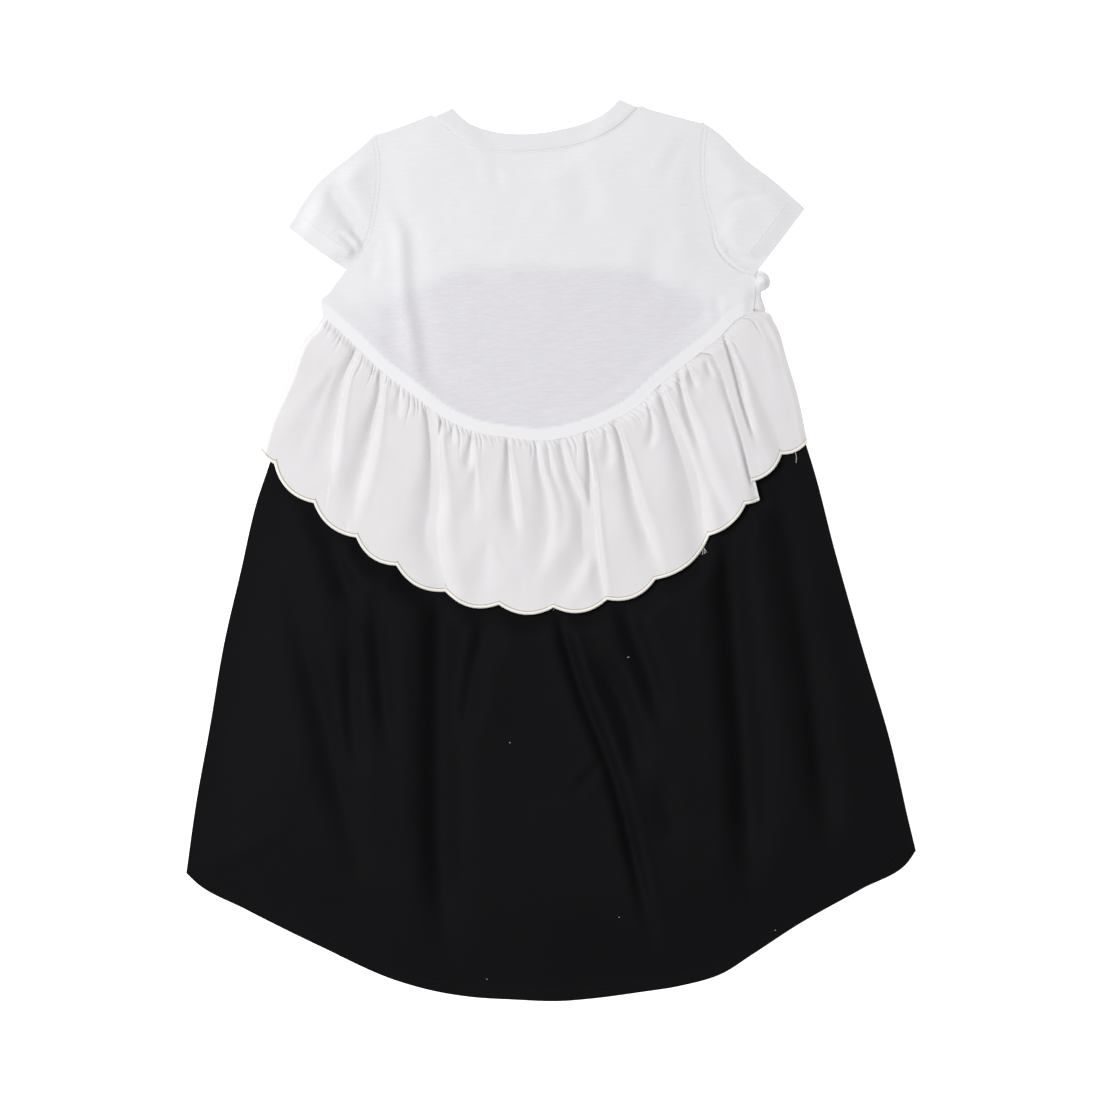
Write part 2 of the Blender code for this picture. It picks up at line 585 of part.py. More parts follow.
front_skirt_plan = skirt_plan(front_seam, FRONT_HEM, FRONT_SKIRT_COLUMNS, FRONT_SKIRT_ROW_SHARES)
laid_grid("skirt_front", front_skirt_plan, on_front_ruffle(front_skirt_plan), black_cotton)
front_skirt_outline = outline_of(front_skirt_plan)

# What the back lies on: the whole front, from the inside of its neckband to its hem
front_top = np.concatenate(
    [left_shoulder[:-1], smooth_line(FRONT_NECK_INNER, NECK_POINTS), right_shoulder[1:]]
)
front_skirt_edges = [front_skirt_plan[:, -1], front_skirt_plan[-1, ::-1], front_skirt_plan[::-1, 0]]
front_outline = np.concatenate(
    [
        joined(front_top, right_armhole, front_right_side),
        joined(*front_skirt_edges)[1:-1],
        joined(left_side[::-1], left_armhole[::-1])[:-1],
    ]
)


def ground(points):
    """Height of the front pieces under the back ones."""
    above_waist = points[..., 1] > WAIST
    reach = np.where(above_waist, REACH, HEM_REACH)
    spread = np.where(above_waist, SPREAD, HEM_SPREAD)
    return LAYER * over(points, front_outline, reach, spread) + on_front_ruffle(points)


# Back pieces
back_bodice_outline = bodice_outline(BACK_NECK_OUTER, back_seam, right_side)
points, faces, rims = filled(back_bodice_outline)
lift_off = eased(depth_inside(points, back_bodice_outline) / BODICE_EDGE)
relief = np.maximum(lift_off * (BODICE_LOFT + folded(points, BODICE_FOLDS)), 0.0)
from_seam = nearest_on(points, back_seam)[0]
band = LAYER * eased((BAND_WIDE + BAND_FADE - from_seam) / BAND_FADE)
laid("bodice_back", points, faces, rims, ground(points) + relief, jersey, band)

back_skirt_plan = skirt_plan(back_seam, BACK_HEM, SKIRT_COLUMNS, SKIRT_ROW_SHARES)
left_hem = scalloped(LEFT_SCALLOPS)
right_hem = scalloped(RIGHT_SCALLOPS)
ruffle_right_end = smooth_line(RUFFLE_RIGHT, RUFFLE_SIDE_POINTS)
ruffle_left_end = smooth_line(RUFFLE_LEFT, RUFFLE_SIDE_POINTS)
ruffle_outline = np.concatenate(
    [
        joined(back_seam, ruffle_right_end, right_hem[::-1]),
        joined(left_hem[::-1], ruffle_left_end[::-1])[:-1],
    ]
)
back_skirt_outline = outline_of(back_skirt_plan)
inset = depth_inside(back_skirt_plan, back_skirt_outline)
from_ruffle = -depth_inside(back_skirt_plan, ruffle_outline)
clear = eased((from_ruffle - RUFFLE_MARGIN) / RUFFLE_PRESS)
relief = (SKIRT_LOFT + folded(back_skirt_plan, SKIRT_FOLDS)) * eased(inset / SKIRT_EDGE) * clear
under_skirt = ground(back_skirt_plan) + np.maximum(relief, 0.0)
laid_grid("skirt_back", back_skirt_plan, under_skirt, black_cotton)


def gathers(count, wave):
    """Ridge heights of every second line, the valleys between them at nought."""
    number = np.arange(count)
    return (number % 2) * (GATHER_MEAN + GATHER_VARY * np.sin(wave * number))


def ruffle_columns():
    """Where each line of the back ruffle leaves the seam and meets the hem, its lift and its gather.

    The pleat is an S: the lower layer runs right to its hidden fold, the middle one comes back
    to the fold that shows, and the top one runs right over both.
    """
    seam = moved_aside(back_seam, GAP)
    run = np.linalg.norm(np.diff(seam, axis=0), axis=1).sum()
    lap = PLEAT_SEAM_LAP / run
    turn = LAYER / 2 / run
    pleat = PLEAT_SEAM_SHARE
    fan = np.array(FAN)
    left_count = 2 * round(GATHERS * pleat)
    right_count = 2 * GATHERS - left_count
    left = np.linspace(0.0, 1.0, left_count)
    right = np.linspace(0.0, 1.0, right_count)
    hidden = left_hem[-1]
    shown = right_hem[0]
    towards = (shown - hidden) / np.linalg.norm(shown - hidden) * LAYER / 2
    before = (left_hem[-2] - hidden) / np.linalg.norm(left_hem[-2] - hidden) * LAYER / 2

    top_shares = np.concatenate(
        [
            left * (pleat + lap - turn),
            (pleat + lap, pleat + lap - turn, pleat + turn, pleat),
            pleat + turn + right * (1 - pleat - turn),
        ]
    )
    hem_left = spaced(left_hem, np.interp(left, fan[:, 0], fan[:, 1]))
    hem_left[-1] = hidden + before
    hem_right = spaced(right_hem, right)
    hem_right[0] = shown - towards
    bottom = np.concatenate(
        [hem_left, [hidden, hidden + towards, shown - towards, shown], hem_right]
    )
    lift = LAYER * np.r_[np.zeros(left_count), PLEAT_LIFTS, np.full(right_count, PLEAT_TOP_LIFT)]
    left_gathers = gathers(left_count, LEFT_GATHER_WAVE)
    left_gathers[-NO_GATHERS_LEFT:] = 0.0
    right_gathers = gathers(right_count, RIGHT_GATHER_WAVE)
    right_gathers[:NO_GATHERS_RIGHT] = 0.0
    gather = np.r_[left_gathers, np.zeros(len(PLEAT_LIFTS)), right_gathers]
    return spaced(seam, top_shares), bottom, lift, gather, left_count


top, bottom, lift, gather, hidden = ruffle_columns()
shown = hidden + len(PLEAT_LIFTS) - 1
shares = np.array(RUFFLE_ROW_SHARES)
ruffle_plan = patch(
    top,
    bottom,
    side_line(RUFFLE_LEFT, top[0], bottom[0], shares),
    side_line(RUFFLE_RIGHT, top[-1], bottom[-1], shares),
    shares,
)
hidden_fold = ruffle_plan[:, hidden]
shown_fold = ruffle_plan[:, shown]
lap = np.linalg.norm(hidden_fold - shown_fold, axis=1)[:, None]
past = np.linalg.norm(ruffle_plan - shown_fold[:, None], axis=2) - lap - PLEAT_CLEAR
number = np.arange(len(lift))
settled = np.where(number > shown, 1 - eased(past / PLEAT_SETTLE), 1.0)
lap_zone = np.concatenate([shown_fold, hidden_fold[::-1]])
flat_lap = 1 - over(ruffle_plan, lap_zone, PLEAT_FLAT)
from_seam = nearest_on(ruffle_plan, back_seam)[0]
more_loft = (RUFFLE_HEM_LOFT - RUFFLE_SEAM_LOFT) * eased(shares / LOFT_FULL)[:, None]
relief = RUFFLE_SEAM_LOFT + more_loft + flat_lap * folded(ruffle_plan, RUFFLE_FOLDS)
relief += GATHER_HIGH * gather * np.exp(-((from_seam / GATHER_LONG) ** 2))
from_side = np.minimum(number, number[::-1])
relief = np.maximum(relief * eased(from_side / SIDE_COLUMNS), 0.0)
base = on_front_ruffle(ruffle_plan)
for skirt_outline in (front_skirt_outline, back_skirt_outline):
    base += LAYER * over(ruffle_plan, skirt_outline, SIDE_DROP, SIDE_SPREAD)
middle = np.dstack([ruffle_plan, base + WALL / 2 + relief + lift * settled])
wall("ruffle_back", *both_faces(middle), *grid_faces(*ruffle_plan.shape[:2]), poplin)

# Neckband: one ring of rib, its back half over its front half
across = np.linspace(0.0, 1.0, NECKBAND_ROWS)[:, None, None]


def band_half(inner, outer):
    return (1 - across) * smooth_line(inner, NECK_POINTS) + across * smooth_line(outer, NECK_POINTS)


back_band = band_half(BACK_NECK_INNER, BACK_NECK_OUTER)
front_band = band_half(FRONT_NECK_INNER, FRONT_NECK_OUTER)
flattened_tube("neckband", back_band, front_band, ground(back_band), rib)


def sleeve(name, armhole, fold, underarm, cuff, outwards):
    """A short sleeve, folded flat along its outer edge and open at both ends."""
    top = moved_aside(armhole, outwards * GAP)
    back = (top[-2] - top[-1]) / np.linalg.norm(top[-2] - top[-1])
    aside = outwards * np.array((-back[1], back[0]))
    top[-1] += back * UNDERARM_TRIM + aside * UNDERARM_CLEAR
    bottom = smooth_line(cuff, ARMHOLE_POINTS)
    rows = np.linspace(0.0, 1.0, SLEEVE_ROWS)
    plan = patch(
        top,
        bottom,
        side_line(fold, top[0], bottom[0], rows),
        side_line(underarm, top[-1], bottom[-1], rows),
    )
    inset = depth_inside(plan, outline_of(plan))
    relief = (SLEEVE_LOFT + folded(plan, SLEEVE_FOLDS)) * eased(inset / SLEEVE_EDGE)
    flattened_tube(name, plan, plan, LAYER + np.maximum(relief, 0.0), jersey)


sleeve("sleeve_left", left_armhole, LEFT_SLEEVE_FOLD, LEFT_UNDERARM, LEFT_CUFF, outwards=1.0)
sleeve("sleeve_right", right_armhole, RIGHT_SLEEVE_FOLD, RIGHT_UNDERARM, RIGHT_CUFF, outwards=-1.0)
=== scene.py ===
# %% [markdown]
# This scene makes the cloth of a child's dress that lies flat on a pale floor, its back uppermost.
# The frame gives nine pieces of cloth as plain solids. Each gets a finer sheet of its own here,
# a thin closed shell on the same outline, with the folds, gathers and sewing of the real thing.
# Sizes are in millimetres, as a dressmaker would measure, and turn to metres when a mesh is made.

# %% Load the frame
from collections import namedtuple

import bmesh
import bpy
import numpy as np
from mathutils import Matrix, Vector
from mathutils.bvhtree import BVHTree
from mathutils.geometry import delaunay_2d_cdt


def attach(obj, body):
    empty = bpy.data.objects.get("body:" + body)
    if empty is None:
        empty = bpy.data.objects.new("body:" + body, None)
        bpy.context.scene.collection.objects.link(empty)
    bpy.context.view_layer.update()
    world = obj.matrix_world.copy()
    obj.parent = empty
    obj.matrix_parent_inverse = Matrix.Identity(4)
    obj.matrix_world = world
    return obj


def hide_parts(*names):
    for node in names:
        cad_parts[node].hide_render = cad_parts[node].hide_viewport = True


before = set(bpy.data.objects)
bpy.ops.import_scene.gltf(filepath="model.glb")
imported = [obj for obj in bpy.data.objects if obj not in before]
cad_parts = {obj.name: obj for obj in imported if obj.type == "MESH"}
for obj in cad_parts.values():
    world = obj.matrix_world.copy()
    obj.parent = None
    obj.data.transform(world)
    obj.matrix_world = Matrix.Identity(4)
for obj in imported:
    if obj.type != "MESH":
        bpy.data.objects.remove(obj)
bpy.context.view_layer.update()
MM = 0.001
print("nodes:", sorted(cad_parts))

# %% [markdown]
# The photograph looks straight down and shows no perspective, so the camera hangs high over the
# dress with a long lens. A long lens keeps thick and thin parts the same scale, and unlike an
# orthographic camera it can be swung round to the side views. The frame is 0.88 m across.

# %% Camera
FRAME_ACROSS = 880.0
LENS = 200.0
SENSOR = 36.0
CAMERA_PLACE = (-0.8, 0.4)  # middle of the picture, just off the middle of the dress
FURTHEST_SEEN = 40.0  # m

camera_data = bpy.data.cameras.new("camera")
camera_data.lens = LENS
camera_data.sensor_width = SENSOR
camera_high = FRAME_ACROSS * LENS / SENSOR
camera_data.clip_end = FURTHEST_SEEN
camera = bpy.data.objects.new("camera", camera_data)
camera.location = (CAMERA_PLACE[0] * MM, CAMERA_PLACE[1] * MM, camera_high * MM)
bpy.context.scene.collection.objects.link(camera)
bpy.context.scene.camera = camera
print("camera height", round(camera_high * MM, 3), "m")

# %% [markdown]
# Colours are picked as sRGB hex values, the way a paint chart or a picture editor gives them.
# Shaders work in linear light, so one function turns hex to linear. Another adds a node with its
# settings and links, which keeps each material down to a short list.

# %% Colour and node helpers
def linear(code):
    """The linear colour of an sRGB hex value."""
    channels = np.array([int(code[i : i + 2], 16) for i in (1, 3, 5)]) / 255
    low = channels / 12.92
    high = ((channels + 0.055) / 1.055) ** 2.4
    return (*np.where(channels <= 0.04045, low, high).tolist(), 1.0)


def add(tree, kind, settings=None, **inputs):
    """A node of this kind. Inputs are values, or another node's output to link.

    An input is called by its socket's name, or n0, n1 and so on by its place in the node.
    """
    node = tree.nodes.new("ShaderNode" + kind)
    for key, value in (settings or {}).items():
        setattr(node, key, value)
    for key, value in inputs.items():
        socket = node.inputs[int(key[1:]) if key[1:].isdigit() else key]
        if isinstance(value, bpy.types.NodeSocket):
            tree.links.new(value, socket)
        else:
            socket.default_value = value
    return node


print("white in linear light:", linear("#ffffff")[:3])

# %% [markdown]
# The floor is a sheet of white studio card. It only has to be pale and plain, so a matt white with
# a little light of its own keeps it near pure white, as the cut-out background is, and keeps the
# shadow round the cloth faint.

# %% Floor
FLOOR_SIZE = 12000.0
CARD_GLOW = 0.9

card = bpy.data.materials.new("white_studio_card")
card.use_nodes = True
card_shader = card.node_tree.nodes["Principled BSDF"]
card_shader.inputs["Base Color"].default_value = linear("#f4f4f4")
card_shader.inputs["Roughness"].default_value = 1.0
card_shader.inputs["Specular IOR Level"].default_value = 0.0
card_shader.inputs["Emission Color"].default_value = linear("#ffffff")
card_shader.inputs["Emission Strength"].default_value = CARD_GLOW

floor_mesh = bpy.data.meshes.new("floor")
half = FLOOR_SIZE / 2 * MM
floor_mesh.from_pydata(
    [(-half, -half, 0.0), (half, -half, 0.0), (half, half, 0.0), (-half, half, 0.0)], [], [(0, 1, 2, 3)]
)
floor_mesh.materials.append(card)
floor = bpy.data.objects.new("floor", floor_mesh)
bpy.context.scene.collection.objects.link(floor)
print("floor", FLOOR_SIZE * MM, "m across")

# %% [markdown]
# The photograph is lit as clothes for a catalogue are: a big soft light on the left and white all
# round. Each fold's left flank is a little darker and its right flank a little brighter. So one
# large area light stands to the upper left, and a plain white world fills the rest.

# %% Light
KEY_SIZE = 2400.0
KEY_PLACE = (-1650.0, 600.0, 3100.0)
KEY_POWER = 104.0
FILL = 0.36

world = bpy.data.worlds.new("white_room")
world.use_nodes = True
world.node_tree.nodes["Background"].inputs["Color"].default_value = (1.0, 1.0, 1.0, 1.0)
world.node_tree.nodes["Background"].inputs["Strength"].default_value = FILL
bpy.context.scene.world = world

key_data = bpy.data.lights.new("key_softbox", "AREA")
key_data.shape = "SQUARE"
key_data.size = KEY_SIZE * MM
key_data.energy = KEY_POWER
key = bpy.data.objects.new("key_softbox", key_data)
key.location = Vector(KEY_PLACE) * MM
key.rotation_euler = (-key.location).to_track_quat("-Z", "Y").to_euler()
bpy.context.scene.collection.objects.link(key)
bpy.context.scene.view_settings.view_transform = "Standard"
print("key light", KEY_POWER, "W, fill", FILL)

# %% [markdown]
# Every cloth here is a Principled shader with a colour that varies a little and a bump. These
# helpers set what is the same all over a cloth, place a pattern by its real size, draw threads as
# fine waves, and link the pattern to the shader.

# %% Cloth helpers
WAVE_BANDS = 10  # bands that a wave texture draws in one pattern step at a scale of pi
CLOTH_IOR = 1.5
SHEEN_ROUGHNESS = 0.5


def cloth(name, roughness, sheen=0.0, specular=0.2):
    """A new material with the values that are the same all over it."""
    made = bpy.data.materials.new(name)
    made.use_nodes = True
    shader = made.node_tree.nodes["Principled BSDF"]
    shader.inputs["Roughness"].default_value = roughness
    shader.inputs["Metallic"].default_value = 0.0
    shader.inputs["IOR"].default_value = CLOTH_IOR
    shader.inputs["Specular IOR Level"].default_value = specular
    shader.inputs["Sheen Weight"].default_value = sheen
    shader.inputs["Sheen Roughness"].default_value = SHEEN_ROUGHNESS
    return made, made.node_tree, shader


def placed(tree, across, down, thick=None, turn=0.0):
    """Object coordinates that count in pattern steps of these sizes in millimetres."""
    coordinates = add(tree, "TexCoord")
    steps = [step * MM for step in (across, down, thick or down)]
    return add(
        tree, "Mapping", {"vector_type": "TEXTURE"}, Vector=coordinates.outputs["Object"], Scale=steps,
        Rotation=(0.0, 0.0, turn),
    ).outputs["Vector"]


def thread_waves(tree, spacing, waviness, directions="XY"):
    """Height of threads or ribs this far apart, one uneven wave for each direction."""
    height = 0.0
    for direction in directions:
        wave = add(
            tree, "TexWave", {"wave_type": "BANDS", "bands_direction": direction}, Scale=np.pi,
            Vector=placed(tree, spacing * WAVE_BANDS, spacing * WAVE_BANDS), Distortion=waviness, Detail=1.0,
        )
        height = add(tree, "Math", {"operation": "ADD"}, n0=height, n1=wave.outputs["Fac"]).outputs[0]
    return height


def coloured(tree, shader, share, light, dark):
    """Colour a cloth from light to dark as the share goes from nought to one."""
    colour = add(tree, "Mix", {"data_type": "RGBA"}, n0=share, n6=linear(light), n7=linear(dark))
    tree.links.new(colour.outputs[2], shader.inputs["Base Color"])


def roughened(tree, shader, height, deep, strength=0.1):
    """Bump a cloth's surface by a height, so many millimetres deep where the height is one."""
    bump = add(tree, "Bump", Strength=strength, Distance=deep * MM, Height=height)
    tree.links.new(bump.outputs["Normal"], shader.inputs["Normal"])


print("cloth helpers ready")

# %% [markdown]
# Jersey is a fine single knit. Seen from a step away its loops are too small to make out, and what
# the eye gets is a matt white with short level streaks, because slub yarn is thick in places. Two
# stretched noises give the streaks. The knit's own ribs are drawn as a fine wave for the bump, a
# little coarser than real so that a close view shows them.
# The dark skirt underneath shows through the thin jersey, and seam allowances make it whiter where
# they double it. Two attributes on the mesh, over_dark and doubled, say where.

# %% Jersey
WALE = 1.1  # mm between the knit's ribs, real ones are about 0.7
SLUB_LONG = 6.5
SLUB_HIGH = 0.9
SLUB_TURN = -0.24  # radians, the knit lies a little askew
LONG_SLUB_LONG = 1.9 * SLUB_LONG
LONG_SLUB_HIGH = 1.4 * SLUB_HIGH
LONG_SLUB_TURN = -0.4 * SLUB_TURN
STREAK_FROM = 0.78  # sum of the two noises where a streak starts, and where it is full
STREAK_TO = 1.24
THIN_LEAST = 0.55  # how much of the dark shows between the streaks, and how much more on them
THIN_MORE = 0.6
STREAK_RAISE = 0.9  # height of the streaks where the ribs' is one
JERSEY_WHITE = "#e9e8eb"
STREAK_WHITE = "#e6e5e8"
OVER_DARK = "#dddbe1"
DOUBLED_WHITE = "#eeedf0"

jersey, jersey_tree, jersey_shader = cloth("single_jersey_white", 0.92, sheen=0.06, specular=0.15)
slub = add(
    jersey_tree, "TexNoise", Vector=placed(jersey_tree, SLUB_LONG, SLUB_HIGH, turn=SLUB_TURN),
    Scale=1.0, Detail=3.0, Roughness=0.62,
)
long_slub = add(
    jersey_tree, "TexNoise", Vector=placed(jersey_tree, LONG_SLUB_LONG, LONG_SLUB_HIGH, turn=LONG_SLUB_TURN),
    Scale=1.0, Detail=2.0, Roughness=0.5,
)
slubs = add(
    jersey_tree, "Math", {"operation": "ADD"}, n0=slub.outputs["Fac"], n1=long_slub.outputs["Fac"]
).outputs[0]
streak = add(
    jersey_tree, "MapRange", {"clamp": True}, Value=slubs, n1=STREAK_FROM, n2=STREAK_TO, n3=0.0, n4=1.0
).outputs[0]
thin = add(
    jersey_tree, "Math", {"operation": "MULTIPLY_ADD"}, n0=streak, n1=THIN_MORE, n2=THIN_LEAST
).outputs[0]
over_dark = add(jersey_tree, "Attribute", {"attribute_name": "over_dark"}).outputs["Fac"]
shade = add(
    jersey_tree, "Math", {"operation": "MULTIPLY", "use_clamp": True}, n0=over_dark, n1=thin
).outputs[0]
doubled = add(jersey_tree, "Attribute", {"attribute_name": "doubled"}).outputs["Fac"]
jersey_colour = linear(JERSEY_WHITE)
for share, colour in ((streak, STREAK_WHITE), (shade, OVER_DARK), (doubled, DOUBLED_WHITE)):
    jersey_colour = add(
        jersey_tree, "Mix", {"data_type": "RGBA"}, n0=share, n6=jersey_colour, n7=linear(colour)
    ).outputs[2]
jersey_tree.links.new(jersey_colour, jersey_shader.inputs["Base Color"])
knit = add(
    jersey_tree, "Math", {"operation": "MULTIPLY_ADD"}, n0=slubs, n1=STREAK_RAISE,
    n2=thread_waves(jersey_tree, WALE, 1.2, "X"),
).outputs[0]
roughened(jersey_tree, jersey_shader, knit, 0.4)
print("jersey streaks", SLUB_LONG, "by", SLUB_HIGH, "mm")

# %% [markdown]
# The neckband is a fine one by one rib, pulled so flat round the neck that its ridges don't show
# from a step away. What shows is a matt white with the knit's small unevenness, which one noise
# gives to its colour and its bump.

# %% Rib
RIB_UNEVEN = 3.0

rib, rib_tree, rib_shader = cloth("rib_knit_white", 0.92, sheen=0.06, specular=0.15)
rib_noise = add(
    rib_tree, "TexNoise", Vector=placed(rib_tree, RIB_UNEVEN, RIB_UNEVEN), Scale=1.0, Detail=3.0
).outputs["Fac"]
coloured(rib_tree, rib_shader, rib_noise, "#e8e7ea", "#e3e2e5")
roughened(rib_tree, rib_shader, rib_noise, 0.4)
print("rib knit ready")

# %% [markdown]
# Poplin is a crisp plain weave. It is a shade greyer than the jersey, matt, and it takes sharp
# creases. Two crossed waves make the weave, drawn at 0.6 mm where the real threads are 0.25 mm
# apart, and a slow noise gives the faint clouding of cloth that was washed and pressed.

# %% Poplin
POPLIN_THREAD = 0.6
POPLIN_CLOUD = 34.0

poplin, poplin_tree, poplin_shader = cloth("plain_weave_poplin_white", 0.85, sheen=0.04)
cloud = add(
    poplin_tree, "TexNoise", Vector=placed(poplin_tree, POPLIN_CLOUD, POPLIN_CLOUD), Scale=1.0, Detail=4.0
)
coloured(poplin_tree, poplin_shader, cloud.outputs["Fac"], "#e9e7ea", "#e1dede")
roughened(poplin_tree, poplin_shader, thread_waves(poplin_tree, POPLIN_THREAD, 0.6), 0.3)
print("poplin thread", POPLIN_THREAD, "mm")

# %% [markdown]
# The skirt is black cotton in a close plain weave, and it sends back hardly any light. Its gloss is
# kept very low, or the white room would turn it grey, but it isn't quite nought: the flanks of the
# folds that face away from the light then go darker than the flat cloth, as the real ones do. The
# weave and a slow change in the depth of the dye keep it from being a flat black.

# %% Black cotton
COTTON_THREAD = 0.7  # mm, drawn coarser than the real 0.3
DYE_CLOUD = 60.0
FIBRE = 1.4
FIBRE_SHARE = 0.5  # of the dye's own part in the colour

cotton, cotton_tree, cotton_shader = cloth("woven_cotton_black", 0.7, specular=0.045)
dye, fibre = (
    add(cotton_tree, "TexNoise", Vector=placed(cotton_tree, size, size), Scale=1.0, Detail=detail)
    for size, detail in ((DYE_CLOUD, 6.0), (FIBRE, 4.0))
)
dye_depth = add(
    cotton_tree, "Math", {"operation": "MULTIPLY_ADD"}, n0=fibre.outputs["Fac"], n1=FIBRE_SHARE,
    n2=dye.outputs["Fac"],
).outputs[0]
coloured(cotton_tree, cotton_shader, dye_depth, "#0e0e10", "#121214")
roughened(cotton_tree, cotton_shader, thread_waves(cotton_tree, COTTON_THREAD, 0.8), 0.3, strength=0.15)
print("cotton thread", COTTON_THREAD, "mm")

# %% [markdown]
# Sewing thread is spun polyester: white for the seams, black for the hem. Threads are thin, so a
# plain colour with a fine noise is all that shows.

# %% Threads
TWIST = 0.8


def thread(name, light, dark, roughness, sheen):
    """A spun thread, with its twist as a fine change of colour."""
    made, tree, shader = cloth(name, roughness, sheen)
    twist = add(tree, "TexNoise", Vector=placed(tree, TWIST, TWIST), Scale=1.0, Detail=2.0)
    coloured(tree, shader, twist.outputs["Fac"], light, dark)
    return made


white_thread = thread("spun_polyester_white", "#e2e1e5", "#d6d5da", 0.7, 0.1)
black_thread = thread("spun_polyester_black", "#18181a", "#101012", 0.8, 0.0)
print("two threads")

# %% [markdown]
# Every edge of the dress is a line through a few measured points, and every panel is worked out
# from such lines. These helpers draw a smooth line through a table's rows, space points along it,
# and move it aside by a seam's width. They are plain curve arithmetic on arrays, which is quicker
# to read than a curve object for each edge, and gives the same points each time.

# %% Lines
CURVE_FINENESS = 12


def smooth_line(rows, count):
    """Points evenly spaced on a smooth line through the rows."""
    knots = np.array(rows, float)
    chord = np.r_[0.0, np.cumsum(np.linalg.norm(np.diff(knots, axis=0), axis=1))]
    slopes = np.gradient(knots, chord, axis=0)
    at = np.linspace(0.0, chord[-1], CURVE_FINENESS * count)
    span = np.clip(np.searchsorted(chord, at, side="right") - 1, 0, len(chord) - 2)
    length = (chord[span + 1] - chord[span])[:, None]
    t = (at[:, None] - chord[span][:, None]) / length
    line = (
        (2 * t**3 - 3 * t**2 + 1) * knots[span]
        + (t**3 - 2 * t**2 + t) * length * slopes[span]
        + (3 * t**2 - 2 * t**3) * knots[span + 1]
        + (t**3 - t**2) * length * slopes[span + 1]
    )
    return spaced(line, np.linspace(0.0, 1.0, count))


def run_along(line):
    """Distance along a line at each of its points."""
    return np.r_[0.0, np.cumsum(np.linalg.norm(np.diff(line, axis=0), axis=1))]


def spaced(line, shares):
    """Points at these shares of a line's length."""
    run = run_along(line)
    at = np.asarray(shares) * run[-1]
    return np.stack([np.interp(at, run, line[:, axis]) for axis in range(line.shape[1])], axis=1)


def joined(*lines):
    """Lines end to end, each starting where the one before it ends."""
    return np.concatenate([lines[0]] + [line[1:] for line in lines[1:]])


def moved_aside(line, distance):
    """The line moved to its right-hand side."""
    along = np.gradient(line, axis=0)
    along /= np.linalg.norm(along, axis=1)[:, None]
    return line + distance * np.stack([along[:, 1], -along[:, 0]], axis=1)


def eased(share):
    """Nought to one with a soft start and end."""
    t = np.clip(share, 0.0, 1.0)
    return t * t * (3 - 2 * t)


print("line helpers ready")

# %% [markdown]
# A fold is stored as a path and a few sizes. To lift or sink the cloth, each point needs its
# distance to the path and the side it is on. The same sum tells how deep a point lies inside a
# panel's outline, which lets one layer of cloth ease down past the edge of the layer under it.

# %% Distances
CHUNK = 6000  # points at a time, so that the sums stay small enough for the memory


def nearest_on(points, line):
    """Distance to a line, share of the way along it, and the side, positive on its right hand."""
    flat = points.reshape(-1, 2)
    start = line[:-1]
    step = np.diff(line, axis=0)
    run = run_along(line)
    found = np.empty((3, len(flat)))
    for first in range(0, len(flat), CHUNK):
        some = flat[first : first + CHUNK]
        from_start = some[:, None] - start
        share = np.clip((from_start * step).sum(-1) / (step**2).sum(-1), 0.0, 1.0)
        offset = from_start - share[..., None] * step
        distance = (offset**2).sum(-1)
        rows = np.arange(len(some))
        best = distance.argmin(-1)
        off = offset[rows, best]
        length = run[best + 1] - run[best]
        found[0, first : first + CHUNK] = np.sqrt(distance[rows, best])
        found[1, first : first + CHUNK] = (run[best] + share[rows, best] * length) / run[-1]
        found[2, first : first + CHUNK] = np.sign(step[best, 1] * off[:, 0] - step[best, 0] * off[:, 1])
    return found.reshape(3, *points.shape[:-1])


def depth_inside(points, outline):
    """Distance to an outline, counted positive inside it."""
    loop = np.concatenate([outline, outline[:1]])
    distance = nearest_on(points, loop)[0].ravel()
    flat = points.reshape(-1, 2)
    inside = np.zeros(len(flat), bool)
    for (x0, y0), (x1, y1) in zip(loop[:-1], loop[1:]):
        if y0 == y1:
            continue
        spans = (y0 > flat[:, 1]) != (y1 > flat[:, 1])
        inside ^= spans & (flat[:, 0] < x0 + (flat[:, 1] - y0) / (y1 - y0) * (x1 - x0))
    return np.where(inside, distance, -distance).reshape(points.shape[:-1])


def over(points, outline, reach, spread):
    """One on top of a lower layer, easing to nought as the cloth comes down past its edge."""
    return eased(1 + (depth_inside(points, outline) + spread) / reach)


print("distance helpers ready")

# %% [markdown]
# A crease in cloth is a narrow trough with a soft ridge on one side or both. The two sides are
# seldom alike: one flank is steep and the other runs out slowly. So each row of a fold table has
# its own width and ridge for the left and the right, as seen from above with the neck at the top,
# and a strength at each end, because real creases fade in and out.

# %% Folds
FOLD_FULL = (0.3, 0.7)  # shares of its path between which a fold has its full depth
RIDGE_PLACE = 1.9  # of the flank's width, from the path to the ridge's top
FOLD_FINENESS = 6
WIDE_FROM = 1 / 1.4  # share of its path where a fold that starts narrow has its full width
RANDOM_SIDE = 96
FINE_LOWER = 3

Fold = namedtuple("Fold", "name deep left right left_ridge right_ridge start end path")


def folded(points, folds, narrow=1.0):
    """Height that the folds add, troughs below nought. They start at this share of their width."""
    height = np.zeros(points.shape[:-1])
    for fold in folds:
        line = smooth_line(fold.path, FOLD_FINENESS * len(fold.path))
        distance, along, side = nearest_on(points, line)
        before = fold.start + (1 - fold.start) * eased(along / FOLD_FULL[0])
        after = fold.end + (1 - fold.end) * eased((1 - along) / (1 - FOLD_FULL[1]))
        full = np.where(side > 0, fold.left, fold.right)
        widths = distance / (full * (narrow + (1 - narrow) * eased(along / WIDE_FROM)))
        ridge = np.where(side > 0, fold.left_ridge, fold.right_ridge)
        trough = fold.deep * np.exp(-(widths**2))
        shoulder = ridge * np.exp(-((widths - RIDGE_PLACE) ** 2))
        height += before * after * (shoulder - trough)
    return height


